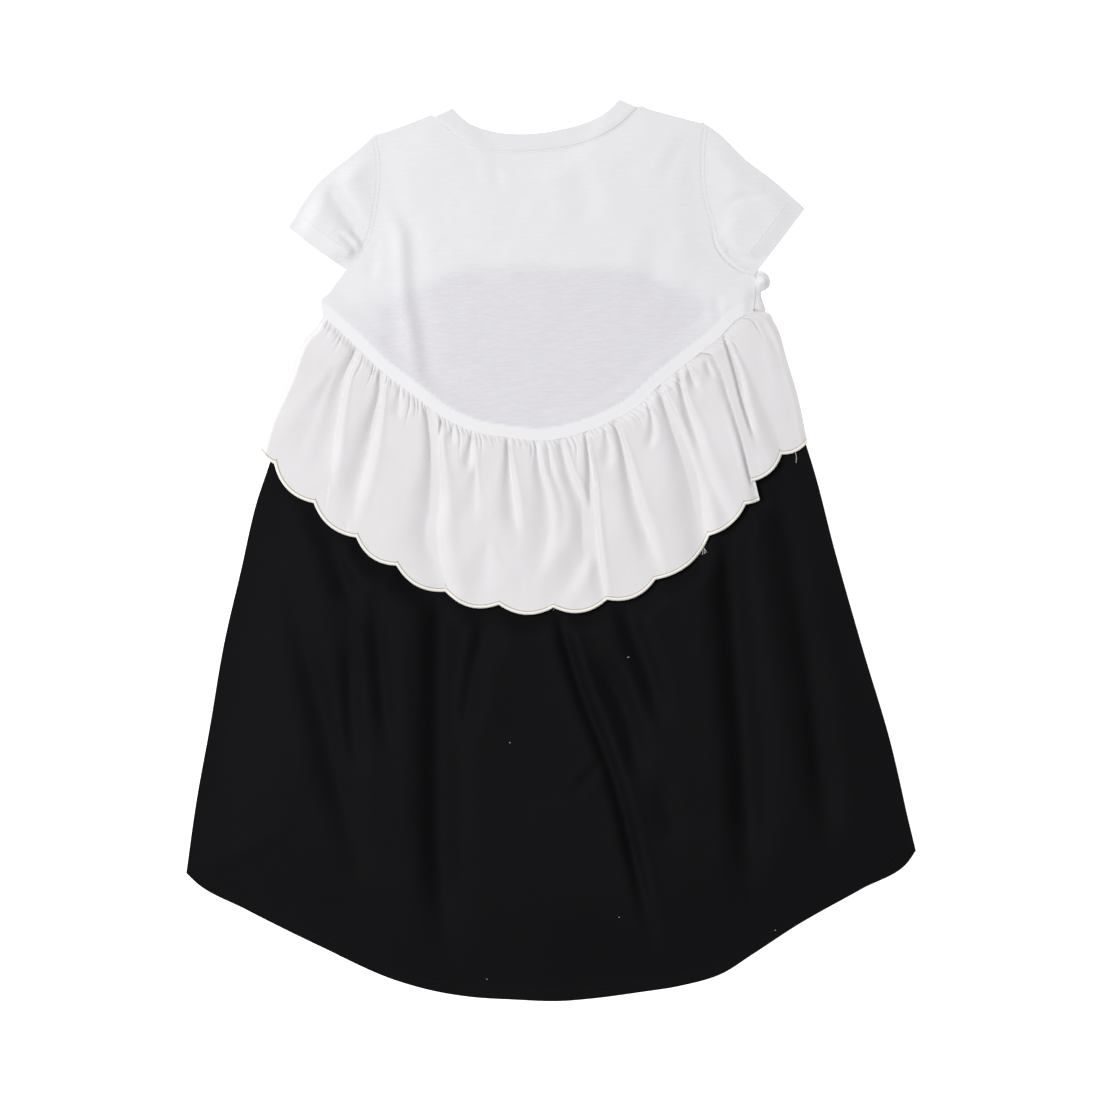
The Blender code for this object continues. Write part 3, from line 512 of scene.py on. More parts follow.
def crumpled(points, step, seed):
    """Slow, soft unevenness about nought, from random heights a step apart."""
    heights = np.random.default_rng(seed).uniform(-1.0, 1.0, (RANDOM_SIDE, RANDOM_SIDE))
    at = points / step + RANDOM_SIDE / 2
    cell = np.floor(at).astype(int)
    across, up = np.moveaxis(eased(at - cell), -1, 0)
    x, y = np.moveaxis(cell % RANDOM_SIDE, -1, 0)
    x1, y1 = (x + 1) % RANDOM_SIDE, (y + 1) % RANDOM_SIDE
    near = heights[x, y] * (1 - across) + heights[x1, y] * across
    far = heights[x, y1] * (1 - across) + heights[x1, y1] * across
    return near * (1 - up) + far * up


def unevenness(points, slow, fine):
    """Crumples of two sizes, each a step and a seed. The fine ones are a third as high."""
    return crumpled(points, *slow) + crumpled(points, *fine) / FINE_LOWER


print("fold helpers ready")

# %% [markdown]
# A panel with four edges is filled as a Coons patch: rows that change gradually from its top edge
# to its bottom edge. A panel with a more complex outline is filled with a lattice of points, joined
# into triangles by Blender's Delaunay function. Either way the two sides of the cloth share one set
# of faces, and a strip along the rim closes them.

# %% Panels
CLOTH = 0.7  # mm, thickness of the shells
LIFT = 0.15  # mm, between a shell's underside and the solid's
RIM_ROUND = 0.15
RIM_ANGLE = np.radians(42.0)  # edges turn sharp past it
LATTICE_ROW = 0.866  # of a step between the lattice's rows, for even triangles
LATTICE_INSET = 0.6  # of a step that the lattice stays inside the outline
SAME_PLACE = 1e-5


def patch(top, bottom, left, right, row_shares):
    """A grid of points that fills four edge lines, rows from top to bottom."""
    u = np.linspace(0.0, 1.0, len(top))[None, :, None]
    v = np.asarray(row_shares)[:, None, None]
    across = (1 - v) * top[None] + v * bottom[None]
    down = (1 - u) * left[:, None] + u * right[:, None]
    corners = (
        (1 - u) * (1 - v) * top[0]
        + u * (1 - v) * top[-1]
        + (1 - u) * v * bottom[0]
        + u * v * bottom[-1]
    )
    return across + down - corners


def grid_faces(rows, columns, tube=False):
    """Faces of a grid, whose columns join up again in a tube, and the loops round its edges."""
    i, j = np.meshgrid(np.arange(rows - 1), np.arange(columns if tube else columns - 1), indexing="ij")
    near, far = i * columns, (i + 1) * columns
    following = (j + 1) % columns
    faces = np.stack([near + j, far + j, far + following, near + following], -1)
    first = list(range(columns))
    last = list(range((rows - 1) * columns, rows * columns))
    if tube:
        return faces.reshape(-1, 4).tolist(), [first, last]
    right = [row * columns + columns - 1 for row in range(1, rows - 1)]
    left = [row * columns for row in range(1, rows - 1)]
    return faces.reshape(-1, 4).tolist(), [first + right + last[::-1] + left[::-1]]


def filled(outline, step):
    """A flat shape's points, the outline first, its triangles and the loop round its edge."""
    low = outline.min(axis=0)
    high = outline.max(axis=0)
    x, y = np.meshgrid(np.arange(low[0], high[0], step), np.arange(low[1], high[1], step * LATTICE_ROW))
    x[1::2] += step / 2
    lattice = np.stack([x.ravel(), y.ravel()], axis=1)
    lattice = lattice[depth_inside(lattice, outline) > step * LATTICE_INSET]
    points = np.concatenate([outline, lattice])
    rim = list(range(len(outline)))
    edges = list(zip(rim, rim[1:] + rim[:1]))
    made = delaunay_2d_cdt([Vector(point) for point in points], edges, [], 0, SAME_PLACE, False)
    faces = np.array(made[2])
    inside = depth_inside(points[faces].mean(axis=1), outline) > 0
    return points, faces[inside].tolist(), [rim]


def mesh_piece(name, corners, faces, material):
    """An object made of these corners, in millimetres, and faces."""
    mesh = bpy.data.meshes.new(name)
    mesh.from_pydata((np.asarray(corners) * MM).tolist(), [], faces)
    shaped = bmesh.new()
    shaped.from_mesh(mesh)
    bmesh.ops.recalc_face_normals(shaped, faces=shaped.faces)
    shaped.to_mesh(mesh)
    shaped.free()
    mesh.shade_smooth()
    mesh.set_sharp_from_angle(angle=RIM_ANGLE)
    mesh.materials.append(material)
    piece = bpy.data.objects.new(name, mesh)
    bpy.context.scene.collection.objects.link(piece)
    return piece


def shell(name, upper, lower, faces, rims, material):
    """A closed shell between two sheets of points that share their faces, with a rounded rim."""
    upper = upper.reshape(-1, 3)
    lower = lower.reshape(-1, 3)
    count = len(upper)
    corners = [upper, lower]
    walls = [tuple(face) for face in faces]
    walls += [tuple(count + i for i in face[::-1]) for face in faces]
    total = 2 * count
    for rim in rims:
        middle = (upper[rim] + lower[rim]) / 2
        along = np.roll(middle, -1, axis=0) - np.roll(middle, 1, axis=0)
        away = np.stack([-along[:, 1], along[:, 0]], axis=1)
        away /= np.maximum(np.linalg.norm(away, axis=1), 1e-9)[:, None]
        outer = middle.copy()
        outer[:, :2] += RIM_ROUND * away * rim_side(middle, away)
        corners.append(outer)
        places = list(range(total, total + len(rim)))
        total += len(rim)
        following = rim[1:] + rim[:1]
        next_places = places[1:] + places[:1]
        for here, there, mid, mid_next in zip(rim, following, places, next_places):
            walls.append((here, there, mid_next, mid))
            walls.append((mid, mid_next, count + there, count + here))
    return mesh_piece(name, np.concatenate(corners), walls, material)


def rim_side(loop, away):
    """One or minus one, so that the rim's bulge points out of the loop."""
    x, y = loop[:, 0], loop[:, 1]
    area = (x * np.roll(y, -1) - np.roll(x, -1) * y).sum()
    return -1.0 if area > 0 else 1.0


def laid(name, points, faces, rims, height, material, extra=0.0):
    """A sheet lying at this height over the floor, thickened by extra on its upper side."""
    lower = np.column_stack([points.reshape(-1, 2), height.ravel() + LIFT])
    upper = lower + np.outer(CLOTH + extra + np.zeros(len(lower)), (0.0, 0.0, 1.0))
    return shell(name, upper, lower, faces, rims, material)


print("shells are", CLOTH, "mm thick")

# %% [markdown]
# These are the dress's edges as measured on the photograph, at 0.8 mm a pixel: neck, shoulders,
# armholes, cuffs, sides, the two waist seams and the hems. Neighbours share an edge line, so the
# pieces meet along it as sewn panels do. The front's edges are hidden and follow the usual cut.

# %% Edges
BACK_NECK_INNER = (
    (-78.4, 353.2), (-67.0, 342.8), (-48.0, 335.6), (-28.0, 333.2), (-8.8, 334.0),
    (5.6, 336.4), (27.2, 342.0), (44.0, 350.4), (54.4, 360.0),
)
BACK_NECK_OUTER = (
    (-92.0, 346.8), (-67.2, 328.2), (-47.2, 321.0), (-28.0, 319.4), (-8.8, 320.6),
    (14.4, 323.6), (34.4, 329.6), (52.8, 339.6), (68.6, 354.0),
)
FRONT_NECK_INNER = (
    (-78.4, 353.2), (-70.0, 327.0), (-48.0, 301.0), (-12.0, 290.0), (24.0, 304.0),
    (46.0, 331.0), (54.4, 360.0),
)
FRONT_NECK_OUTER = (
    (-92.0, 346.8), (-83.0, 318.0), (-57.0, 289.0), (-12.0, 276.5), (33.0, 291.0),
    (59.0, 323.0), (68.6, 354.0),
)
LEFT_SHOULDER = ((-92.0, 346.8), (-96.0, 348.6), (-103.0, 345.4), (-131.0, 335.0), (-140.0, 332.6))
RIGHT_SHOULDER = ((68.6, 354.0), (72.0, 355.8), (80.0, 352.4), (109.6, 344.6), (121.0, 341.8))
LEFT_ARMHOLE = (
    (-140.0, 332.6), (-136.4, 315.0), (-136.0, 296.0), (-139.0, 272.0), (-144.0, 250.0),
    (-152.0, 236.0), (-163.5, 225.0),
)
RIGHT_ARMHOLE = (
    (121.0, 341.8), (118.4, 315.0), (120.2, 285.0), (127.0, 259.6), (131.0, 242.8),
    (140.0, 230.4), (152.8, 222.0), (163.5, 219.5),
)
LEFT_SLEEVE_FOLD = (
    (-140.0, 332.6), (-155.2, 318.8), (-188.8, 290.0), (-202.4, 270.0), (-209.6, 258.0),
)
RIGHT_SLEEVE_FOLD = (
    (121.0, 341.8), (134.4, 332.4), (155.2, 312.0), (176.8, 295.6), (202.4, 272.8),
)
LEFT_UNDERARM = ((-163.5, 225.0), (-166.4, 226.2))
RIGHT_UNDERARM = ((163.5, 219.5), (166.8, 226.0))
LEFT_CUFF = ((-209.6, 258.0), (-188.0, 241.0), (-166.4, 226.2))
RIGHT_CUFF = ((202.4, 272.8), (185.0, 249.6), (166.8, 226.0))
LEFT_SIDE = ((-163.5, 225.0), (-173.6, 211.6), (-178.6, 204.8), (-182.6, 202.0), (-182.4, 187.2))
RIGHT_SIDE = ((163.5, 219.5), (163.4, 204.4), (161.6, 190.8))
FRONT_RIGHT_SIDE = (
    (163.5, 219.5), (166.0, 223.4), (169.0, 223.6), (172.8, 221.0), (175.2, 216.2), (174.6, 211.4),
    (171.4, 208.4), (168.2, 207.0), (168.0, 204.0), (169.4, 199.6), (171.0, 194.0), (171.4, 188.6),
)
BACK_SEAM = (
    (-182.4, 187.2), (-164.8, 171.6), (-133.6, 142.0), (-110.4, 124.6), (-88.0, 107.4),
    (-63.2, 95.8), (-35.2, 90.2), (-0.8, 88.4), (28.0, 95.2), (48.8, 103.6), (68.0, 114.8),
    (88.0, 133.2), (108.0, 149.2), (133.6, 169.2), (150.4, 185.6), (161.6, 190.8),
)
FRONT_SEAM = (
    (-182.4, 187.2), (-152.8, 194.0), (-108.8, 208.4), (-80.8, 221.0), (-0.8, 226.0),
    (75.2, 221.0), (103.2, 208.4), (135.2, 197.4), (158.0, 191.6), (171.4, 188.6),
)
SKIRT_LEFT = (
    (-182.6, 186.6), (-190.0, 166.0), (-203.5, 132.0), (-216.0, 100.0), (-224.8, 70.0), (-235.2, 38.8),
    (-248.0, -16.4), (-261.0, -72.4), (-272.8, -141.2), (-284.0, -203.6), (-291.6, -258.0),
)
SKIRT_RIGHT = (
    (162.0, 190.2), (167.5, 184.0), (172.5, 172.0), (181.5, 148.0), (190.5, 118.0), (200.5, 94.0),
    (209.0, 68.0), (227.2, -1.2), (248.8, -77.2), (272.0, -155.6), (284.8, -211.6), (291.6, -240.0),
)
BACK_HEM = (
    (-291.6, -258.0), (-283.2, -266.0), (-244.8, -286.6), (-184.8, -316.4), (-122.4, -344.4),
    (-90.4, -353.0), (-64.8, -357.0), (-30.4, -359.2), (7.2, -360.4), (34.4, -358.2), (70.4, -353.4),
    (102.4, -348.4), (136.8, -338.4), (160.8, -323.2), (196.8, -299.6), (248.0, -270.8), (285.0, -249.6),
    (291.6, -240.0),
)
FRONT_HEM = (
    (-290.6, -257.0), (-240.0, -266.0), (-120.0, -282.0), (0.0, -286.0), (120.0, -276.0),
    (240.0, -252.0), (290.6, -239.4),
)
RUFFLE_LEFT = (
    (-183.0, 186.4), (-188.0, 178.0), (-195.0, 171.0), (-210.4, 134.8), (-224.8, 103.6),
    (-232.0, 79.0),
)
RUFFLE_RIGHT = (
    (163.0, 190.6), (172.6, 190.2), (179.6, 180.4), (188.8, 151.6), (197.6, 122.0), (204.8, 87.0),
)
SEAM_GAP = 0.05  # mm that neighbours keep between them
TUCK = 0.35  # mm that an edge runs in under its neighbour
NECK_POINTS = 90
SHOULDER_SHARES = np.linspace(0.0, 1.0, 26)

left_armhole = smooth_line(LEFT_ARMHOLE, 70)
right_armhole = smooth_line(RIGHT_ARMHOLE, 70)
left_side = smooth_line(LEFT_SIDE, 30)
right_side = smooth_line(RIGHT_SIDE, 20)
front_right_side = smooth_line(FRONT_RIGHT_SIDE, 40)
left_shoulder = spaced(np.array(LEFT_SHOULDER, float)[::-1], SHOULDER_SHARES)
right_shoulder = spaced(np.array(RIGHT_SHOULDER, float), SHOULDER_SHARES)
back_seam = smooth_line(BACK_SEAM, 240)
front_seam = smooth_line(FRONT_SEAM, 200)


def side_line(rows, top, bottom, shares):
    """A side edge through the rows that starts and ends on these two points."""
    line = smooth_line([tuple(top), *rows[1:-1], tuple(bottom)], CURVE_FINENESS * len(rows))
    return spaced(line, shares)


def outline_of(grid):
    """The four edges of a grid as one loop."""
    return np.concatenate([grid[0], grid[1:, -1], grid[-1, -2::-1], grid[-2:0:-1, 0]])


def bodice_outline(neck, seam, right):
    """Clockwise from the left shoulder."""
    neckline = moved_aside(smooth_line(neck, NECK_POINTS), -TUCK)
    top = np.concatenate([left_shoulder[:-1], neckline, right_shoulder[1:]])
    down = joined(top, right_armhole, right)
    up = joined(seam[::-1], left_side[::-1], left_armhole[::-1])
    return joined(down, up)[:-1]


for side, seam in (("back", back_seam), ("front", front_seam)):
    print(side, "waist seam", round(run_along(seam)[-1]), "mm")

# %% [markdown]
# The ruffle ends in a scalloped edge. The table holds the points between the scallops, read off the
# photograph, and how far each scallop bows out. On the left they run to the lapped pleat, and the
# pleat's upper layer carries the last few.

# %% Scallops
Scallop = namedtuple("Scallop", "x y bulge")
ARC_POINTS = 30

LEFT_SCALLOPS = (
    Scallop(-232.0, 79.0, 1.0), Scallop(-220.6, 69.6, 7.2), Scallop(-189.2, 38.3, 6.6),
    Scallop(-155.2, 10.8, 6.4), Scallop(-123.2, -11.6, 7.0), Scallop(-84.0, -32.4, 7.4),
    Scallop(-41.6, -42.8, 6.8), Scallop(2.0, -45.2, 7.2), Scallop(44.8, -38.8, 6.8),
    Scallop(83.2, -22.8, 7.8), Scallop(126.4, 12.4, 4.6), Scallop(155.2, 37.2, 0.5),
    Scallop(166.5, 40.5, 0.0),
)
RIGHT_SCALLOPS = (
    Scallop(160.4, 55.6, 4.6), Scallop(184.0, 77.2, 3.0), Scallop(204.8, 87.0, 0.0),
)
FRONT_RUFFLE_HEM = ((-232.0, 79.0), (-120.0, 86.0), (-12.0, 92.0), (100.0, 91.0), (204.8, 87.0))
FRONT_SCALLOPS = 10
FRONT_SCALLOP_BULGE = 7.0


def scalloped(cusps):
    """The edge line through these points, bowed out between each two."""
    arcs = []
    for here, there in zip(cusps[:-1], cusps[1:]):
        start = np.array((here.x, here.y))
        end = np.array((there.x, there.y))
        chord = end - start
        outwards = np.array((chord[1], -chord[0])) / np.linalg.norm(chord)
        t = np.linspace(0.0, 1.0, ARC_POINTS + 1)[:, None]
        arcs.append(start + chord * t + outwards * here.bulge * 4 * t * (1 - t))
    return joined(*arcs)


left_hem = scalloped(LEFT_SCALLOPS)
right_hem = scalloped(RIGHT_SCALLOPS)
front_hem_points = smooth_line(FRONT_RUFFLE_HEM, FRONT_SCALLOPS + 1)
front_ruffle_hem = scalloped([Scallop(x, y, FRONT_SCALLOP_BULGE) for x, y in front_hem_points])
print(len(LEFT_SCALLOPS) + len(RIGHT_SCALLOPS) - 2, "scallops at the back")

# %% [markdown]
# The dress lies on its front, so the front pieces are the lowest layer: the bodice's front, its
# ruffle, and the skirt's front over the ruffle's. They show only inside the neck, at the right side
# and from below, so they stay flat, with low waves where cloth is slack. Each upper layer then eases
# down past the edge of the one under it. At the right, under the arm, the front's side is rolled
# round to the back, and a small tuft of it stands out. Both are part of the front's own sheet.

# %% Front pieces
LAYER = 1.3  # mm from one layer of cloth to the next
REACH = 16.0  # mm that the cloth takes to come down past an edge above the waist, and below it
HEM_REACH = 60.0
SPREAD = 4.0  # mm past the edge where it starts to come down
HEM_SPREAD = 10.0
WAIST = 150.0
TUFT_PLACE = (169.6, 215.4)
TUFT_HIGH = 8.0
TUFT_WIDE = 4.0
ROLL_HIGHS = (1.9, 1.3)  # mm, at the waist and at the underarm
ROLL_RIM = 0.15  # of the roll's width, where its rim starts
ROLL_WIDE = 4.0
ROLL_UNDER = 2.6  # mm that the roll starts in under the back
FLAT_CRUMPLE = 0.12
FLAT_STEP = 34.0  # mm, how far apart the low waves are
FRONT_BODICE_STEP = 2.6
FRONT_RUFFLE_GRID = (300, 40)  # columns and rows
FRONT_SKIRT_GRID = (130, 110)
FRONT_SEEDS = (3, 5, 7)  # bodice, ruffle and skirt


def panel(top, bottom, left, right, shares):
    """A patch whose sides follow these rows from the ends of its top to the ends of its bottom."""
    left_edge = side_line(left, top[0], bottom[0], shares)
    right_edge = side_line(right, top[-1], bottom[-1], shares)
    return patch(top, bottom, left_edge, right_edge, shares)


def hung_from(seam, bottom, left, right, rows):
    """A panel below a waist seam, with as many columns as its bottom edge has points."""
    top = spaced(moved_aside(seam, SEAM_GAP), np.linspace(0.0, 1.0, len(bottom)))
    return panel(top, bottom, left, right, np.linspace(0.0, 1.0, rows))


def skirt_plan(seam, hem, columns, rows):
    """A flared panel between its waist seam and its hem."""
    return hung_from(seam, smooth_line(hem, columns), SKIRT_LEFT, SKIRT_RIGHT, rows)


def laid_grid(name, plan, height, material):
    """A sheet laid at this height whose points are a grid."""
    return laid(name, plan, *grid_faces(*plan.shape[:2]), height, material)


def slack(points, seed):
    """A low wave that cloth keeps when it is laid down and not pulled tight, never below nought."""
    return FLAT_CRUMPLE * (1 + crumpled(points, FLAT_STEP, seed))


front_bodice_outline = bodice_outline(FRONT_NECK_OUTER, front_seam, front_right_side)
points, faces, rims = filled(front_bodice_outline, FRONT_BODICE_STEP)
from_tuft = np.linalg.norm(points - np.array(TUFT_PLACE), axis=1)
raised = TUFT_HIGH * np.exp(-((from_tuft / TUFT_WIDE) ** 2))
from_side, _, side = nearest_on(points, right_side)
rolled = ((side < 0) | (from_side < ROLL_UNDER)) & (points[:, 1] < RIGHT_SIDE[0][1])
roll = np.interp(points[:, 1], (RIGHT_SIDE[-1][1], RIGHT_SIDE[0][1]), ROLL_HIGHS)
roll *= eased(ROLL_RIM + depth_inside(points, front_bodice_outline) / ROLL_WIDE)
raised += np.where(rolled, roll, 0.0)
bodice_front = laid(
    "bodice_front_jersey", points, faces, rims, slack(points, FRONT_SEEDS[0]), jersey, raised
)

front_ruffle_bottom = spaced(front_ruffle_hem, np.linspace(0.0, 1.0, FRONT_RUFFLE_GRID[0]))
front_ruffle_plan = hung_from(
    front_seam, front_ruffle_bottom, RUFFLE_LEFT, RUFFLE_RIGHT, FRONT_RUFFLE_GRID[1]
)
front_ruffle_height = slack(front_ruffle_plan, FRONT_SEEDS[1])
front_ruffle_outline = outline_of(front_ruffle_plan)[::3]


def over_front_ruffle(points):
    """How much the front ruffle lifts the cloth that lies over it."""
    return LAYER * over(points, front_ruffle_outline, HEM_REACH, HEM_SPREAD)


ruffle_front = laid_grid("ruffle_front_poplin", front_ruffle_plan, front_ruffle_height, poplin)
front_skirt_plan = skirt_plan(front_seam, FRONT_HEM, *FRONT_SKIRT_GRID)
front_skirt_height = over_front_ruffle(front_skirt_plan) + slack(front_skirt_plan, FRONT_SEEDS[2])
skirt_front = laid_grid("skirt_front_cotton", front_skirt_plan, front_skirt_height, cotton)
front_skirt_outline = outline_of(front_skirt_plan)[::2]

front_top = np.concatenate(
    [left_shoulder[:-1], smooth_line(FRONT_NECK_INNER, 60), right_shoulder[1:]]
)
front_skirt_edges = [front_skirt_plan[:, -1], front_skirt_plan[-1, ::-1], front_skirt_plan[::-1, 0]]
front_outline = np.concatenate(
    [
        joined(front_top, right_armhole, front_right_side),
        joined(*front_skirt_edges)[1:-1],
        joined(left_side[::-1], left_armhole[::-1])[:-1],
    ]
)[::2]  # every second point is enough for a distance


def ground(points):
    """Height of the front pieces under the back ones."""
    above_waist = points[..., 1] > WAIST
    reach = np.where(above_waist, REACH, HEM_REACH)
    spread = np.where(above_waist, SPREAD, HEM_SPREAD)
    return LAYER * over(points, front_outline, reach, spread) + over_front_ruffle(points)


print("front pieces laid")

# %% [markdown]
# The skirt hangs in flares from the waist, and laid flat it falls into long soft troughs that fade
# towards the hem. The one in the middle is a sharp crease, and the rest are broad. Each is placed
# where the photograph has it. Between them the cloth stands up and only ripples a little. It
# comes down to its edges, and it is pressed flat where the ruffle lies on it.

# %% Back of the skirt
SKIRT_LOFT = 11.0  # mm that the cloth stands up between the folds
SKIRT_EDGE = 84.0  # mm over which it comes down to its edges
RUFFLE_PRESS = 23.0  # mm past the ruffle where it is at its full height
RUFFLE_MARGIN = -1.0  # mm past the ruffle where it starts to rise, a little under its edge
SKIRT_CRUMPLE = 0.22
SKIRT_CRUMPLES = ((26.0, 11), (9.0, 12))  # a step and a seed each
BACK_SKIRT_GRID = (290, 160)

SKIRT_FOLDS = (
    Fold("left_short", 6.4, 6.6, 8.0, 0.6, 0.3, 1.0, 0.0, ((-221, 60), (-219, 36), (-216, 4))),
    Fold("left_soft", 7.6, 11.0, 10.0, 0.7, 0.3, 0.8, 0.2, ((-182, 30), (-172, -6), (-156, -48))),
    Fold("left_long", 5.8, 11.0, 11.0, 0.7, 0.4, 0.5, 0.4,
         ((-208, -36), (-192, -98), (-181, -140), (-168, -196), (-154, -250))),
    Fold("left_inner", 5.0, 7.6, 8.0, 0.5, 0.3, 0.3, 0.1, ((-140, -40), (-136, -100), (-130, -160))),
    Fold("left_rib", 4.4, 7.0, 8.0, 0.5, 0.2, 0.1, 0.1, ((-161, -60), (-159, -130), (-154, -190))),
    Fold("main_left", 11.2, 13.0, 15.0, 0.9, 0.2, 1.0, 0.3,
         ((-88.5, -20), (-88.5, -60), (-89, -106), (-89.5, -150), (-89.5, -200), (-88.5, -248),
          (-84.5, -300), (-81, -330))),
    Fold("middle_faint", 5.6, 7.6, 9.0, 0.6, 0.3, 0.8, 0.1,
         ((-48, -36), (-54, -66), (-62, -98), (-70, -160))),
    Fold("middle_short", 2.2, 6.0, 6.0, 0.4, 0.3, 0.8, 0.0, ((-41, -40), (-42, -64), (-44, -90))),
    Fold("middle_crease", 6.0, 5.6, 5.4, 0.6, 1.5, 1.0, 0.3,
         ((4, -42), (9, -62), (22, -106), (49.6, -180), (68, -254), (81, -315))),
    Fold("middle_beside", 6.6, 9.0, 10.0, 0.4, 0.3, 0.2, 0.1, ((34, -78), (60, -131), (72, -188))),
    Fold("middle_branch", 1.6, 4.5, 4.5, 0.4, 0.5, 0.2, 0.4, ((19, -192), (30, -181), (42, -168))),
    Fold("middle_soft", 7.4, 9.0, 10.0, 0.6, 0.4, 0.9, 0.1,
         ((54, -22), (62, -56), (79, -104), (90, -146))),
    Fold("right_faint", 3.2, 9.0, 9.0, 0.3, 0.3, 0.1, 0.1, ((84, -178), (92, -205), (100, -235))),
    Fold("main_right", 11.2, 13.0, 14.0, 0.8, 0.5, 1.0, 0.2,
         ((140, 22), (145, -40), (151, -119), (156, -190), (158, -250), (159, -296))),
    Fold("far_right", 11.0, 12.4, 14.0, 0.8, 0.5, 1.0, 0.2,
         ((182.5, 52), (190, 16), (202, -57), (211, -119), (217, -180), (223, -250))),
    Fold("right_edge", 3.4, 12.0, 12.0, 0.4, 0.4, 0.2, 0.1, ((236, -37), (252, -131), (272, -204))),
    Fold("left_edge", 3.4, 11.0, 12.0, 0.4, 0.4, 0.1, 0.1, ((-260, -120), (-266, -167), (-268, -215))),
)

back_skirt_plan = skirt_plan(back_seam, BACK_HEM, *BACK_SKIRT_GRID)
ruffle_right_end = smooth_line(RUFFLE_RIGHT, 40)
ruffle_left_end = smooth_line(RUFFLE_LEFT, 40)
ruffle_outline = np.concatenate(
    [
        joined(back_seam[::3], ruffle_right_end[::3], right_hem[::-4]),
        joined(left_hem[::-4], ruffle_left_end[::-3])[:-1],
    ]
)
back_skirt_outline = outline_of(back_skirt_plan)[::3]
inset = depth_inside(back_skirt_plan, back_skirt_outline)
clear = eased((-depth_inside(back_skirt_plan, ruffle_outline) - RUFFLE_MARGIN) / RUFFLE_PRESS)
relief = SKIRT_LOFT + folded(back_skirt_plan, SKIRT_FOLDS)
relief += SKIRT_CRUMPLE * unevenness(back_skirt_plan, *SKIRT_CRUMPLES)
relief *= eased(inset / SKIRT_EDGE) * clear
skirt_back = laid_grid(
    "skirt_back_cotton", back_skirt_plan, ground(back_skirt_plan) + np.maximum(relief, 0.0), cotton
)
print("skirt folds", len(SKIRT_FOLDS), "and", len(skirt_back.data.polygons), "faces")

# %% [markdown]
# The ruffle is a strip of poplin about half as long again as the seam, drawn up on a thread. At
# the seam the spare length stands in small gathers, 3 to 6 mm apart and from 8 to 30 mm long, no two
# the same. Lower down they join into a few larger folds that run to the scallops. The small ones
# come from a seeded list of spacings and sizes, the large ones are listed one by one.
# At the right the strip was sewn in with a lapped pleat: it runs to a hidden fold, back to a fold
# that shows, and on to the side over both.

# %% Back of the ruffle
RUFFLE_TOP_LOFT = 0.5  # right at the seam
RUFFLE_SEAM_LOFT = 3.3
SEAM_RISE = 7.0
RUFFLE_HEM_LOFT = 5.0
SIDE_LOFTS = (1.0, 0.3)  # share of the loft that is left at either side
SIDE_LOFT_RUN = 70.0
LOFT_FULL = 0.7
LEFT_COLUMNS = 580
RIGHT_COLUMNS = 124
RUFFLE_ROWS = 64
ROW_CROWDING = 1.6  # rows lie closer together near the seam
GATHER_START = 2.0  # mm from the seam's left end to the first gather
GATHER_STEPS = (2.4, 5.2)  # mm, least and most, as in the next three
GATHER_LENGTHS = (3.0, 16.0)
GATHER_WIDTHS = (0.7, 1.2)
GATHER_DEPTHS = (0.8, 2.1)
GATHER_LEAN = 0.08  # mm aside for each mm away from the seam, at most
GATHER_SEED = 21
RUFFLE_CRUMPLE = 0.26
RUFFLE_CRUMPLES = ((17.0, 31), (6.0, 32))
RUFFLE_SWELL = 0.7
RUFFLE_SWELLS = (34.0, 33)
FOLD_NARROW = 0.3  # share of its width that a fold has at the seam
SEAM_RELIEF = 0.3  # share of the relief that is left at the seam
PLEAT_SEAM_SHARE = 0.868
PLEAT_SEAM_LAP = 2.4
PLEAT_CLEAR = 1.8
PLEAT_SETTLE = 16.0  # mm that the upper layer takes to come down past the hidden fold
PLEAT_FLAT = 5.0
PLEAT_DIP = 3.4  # the lower layer sinks beside the fold that shows
PLEAT_DIP_WIDE = (4.6, 1.7)  # mm, at the seam and at the hem
PLEAT_DIP_UNDER = 3.0
PLEAT_END_WIDE = 5.0
DIP_FADES = (0.15, 4)  # powers that fade the two dips out towards the seam, quickly and slowly
TURN_ANGLES = np.radians((-60.0, -30.0, 0.0, 30.0, 60.0))  # round a fold, from one layer to the next
TURN_MIDDLE = len(TURN_ANGLES) // 2
PLEAT_INSIDE = 7  # points on the pleat's middle layer
SIDE_EASE = 5.0
SIDE_DROP = 18.0
SIDE_SPREAD = 8.0
END_SKIPPED = 5  # points of the right end that lie along the waist seam

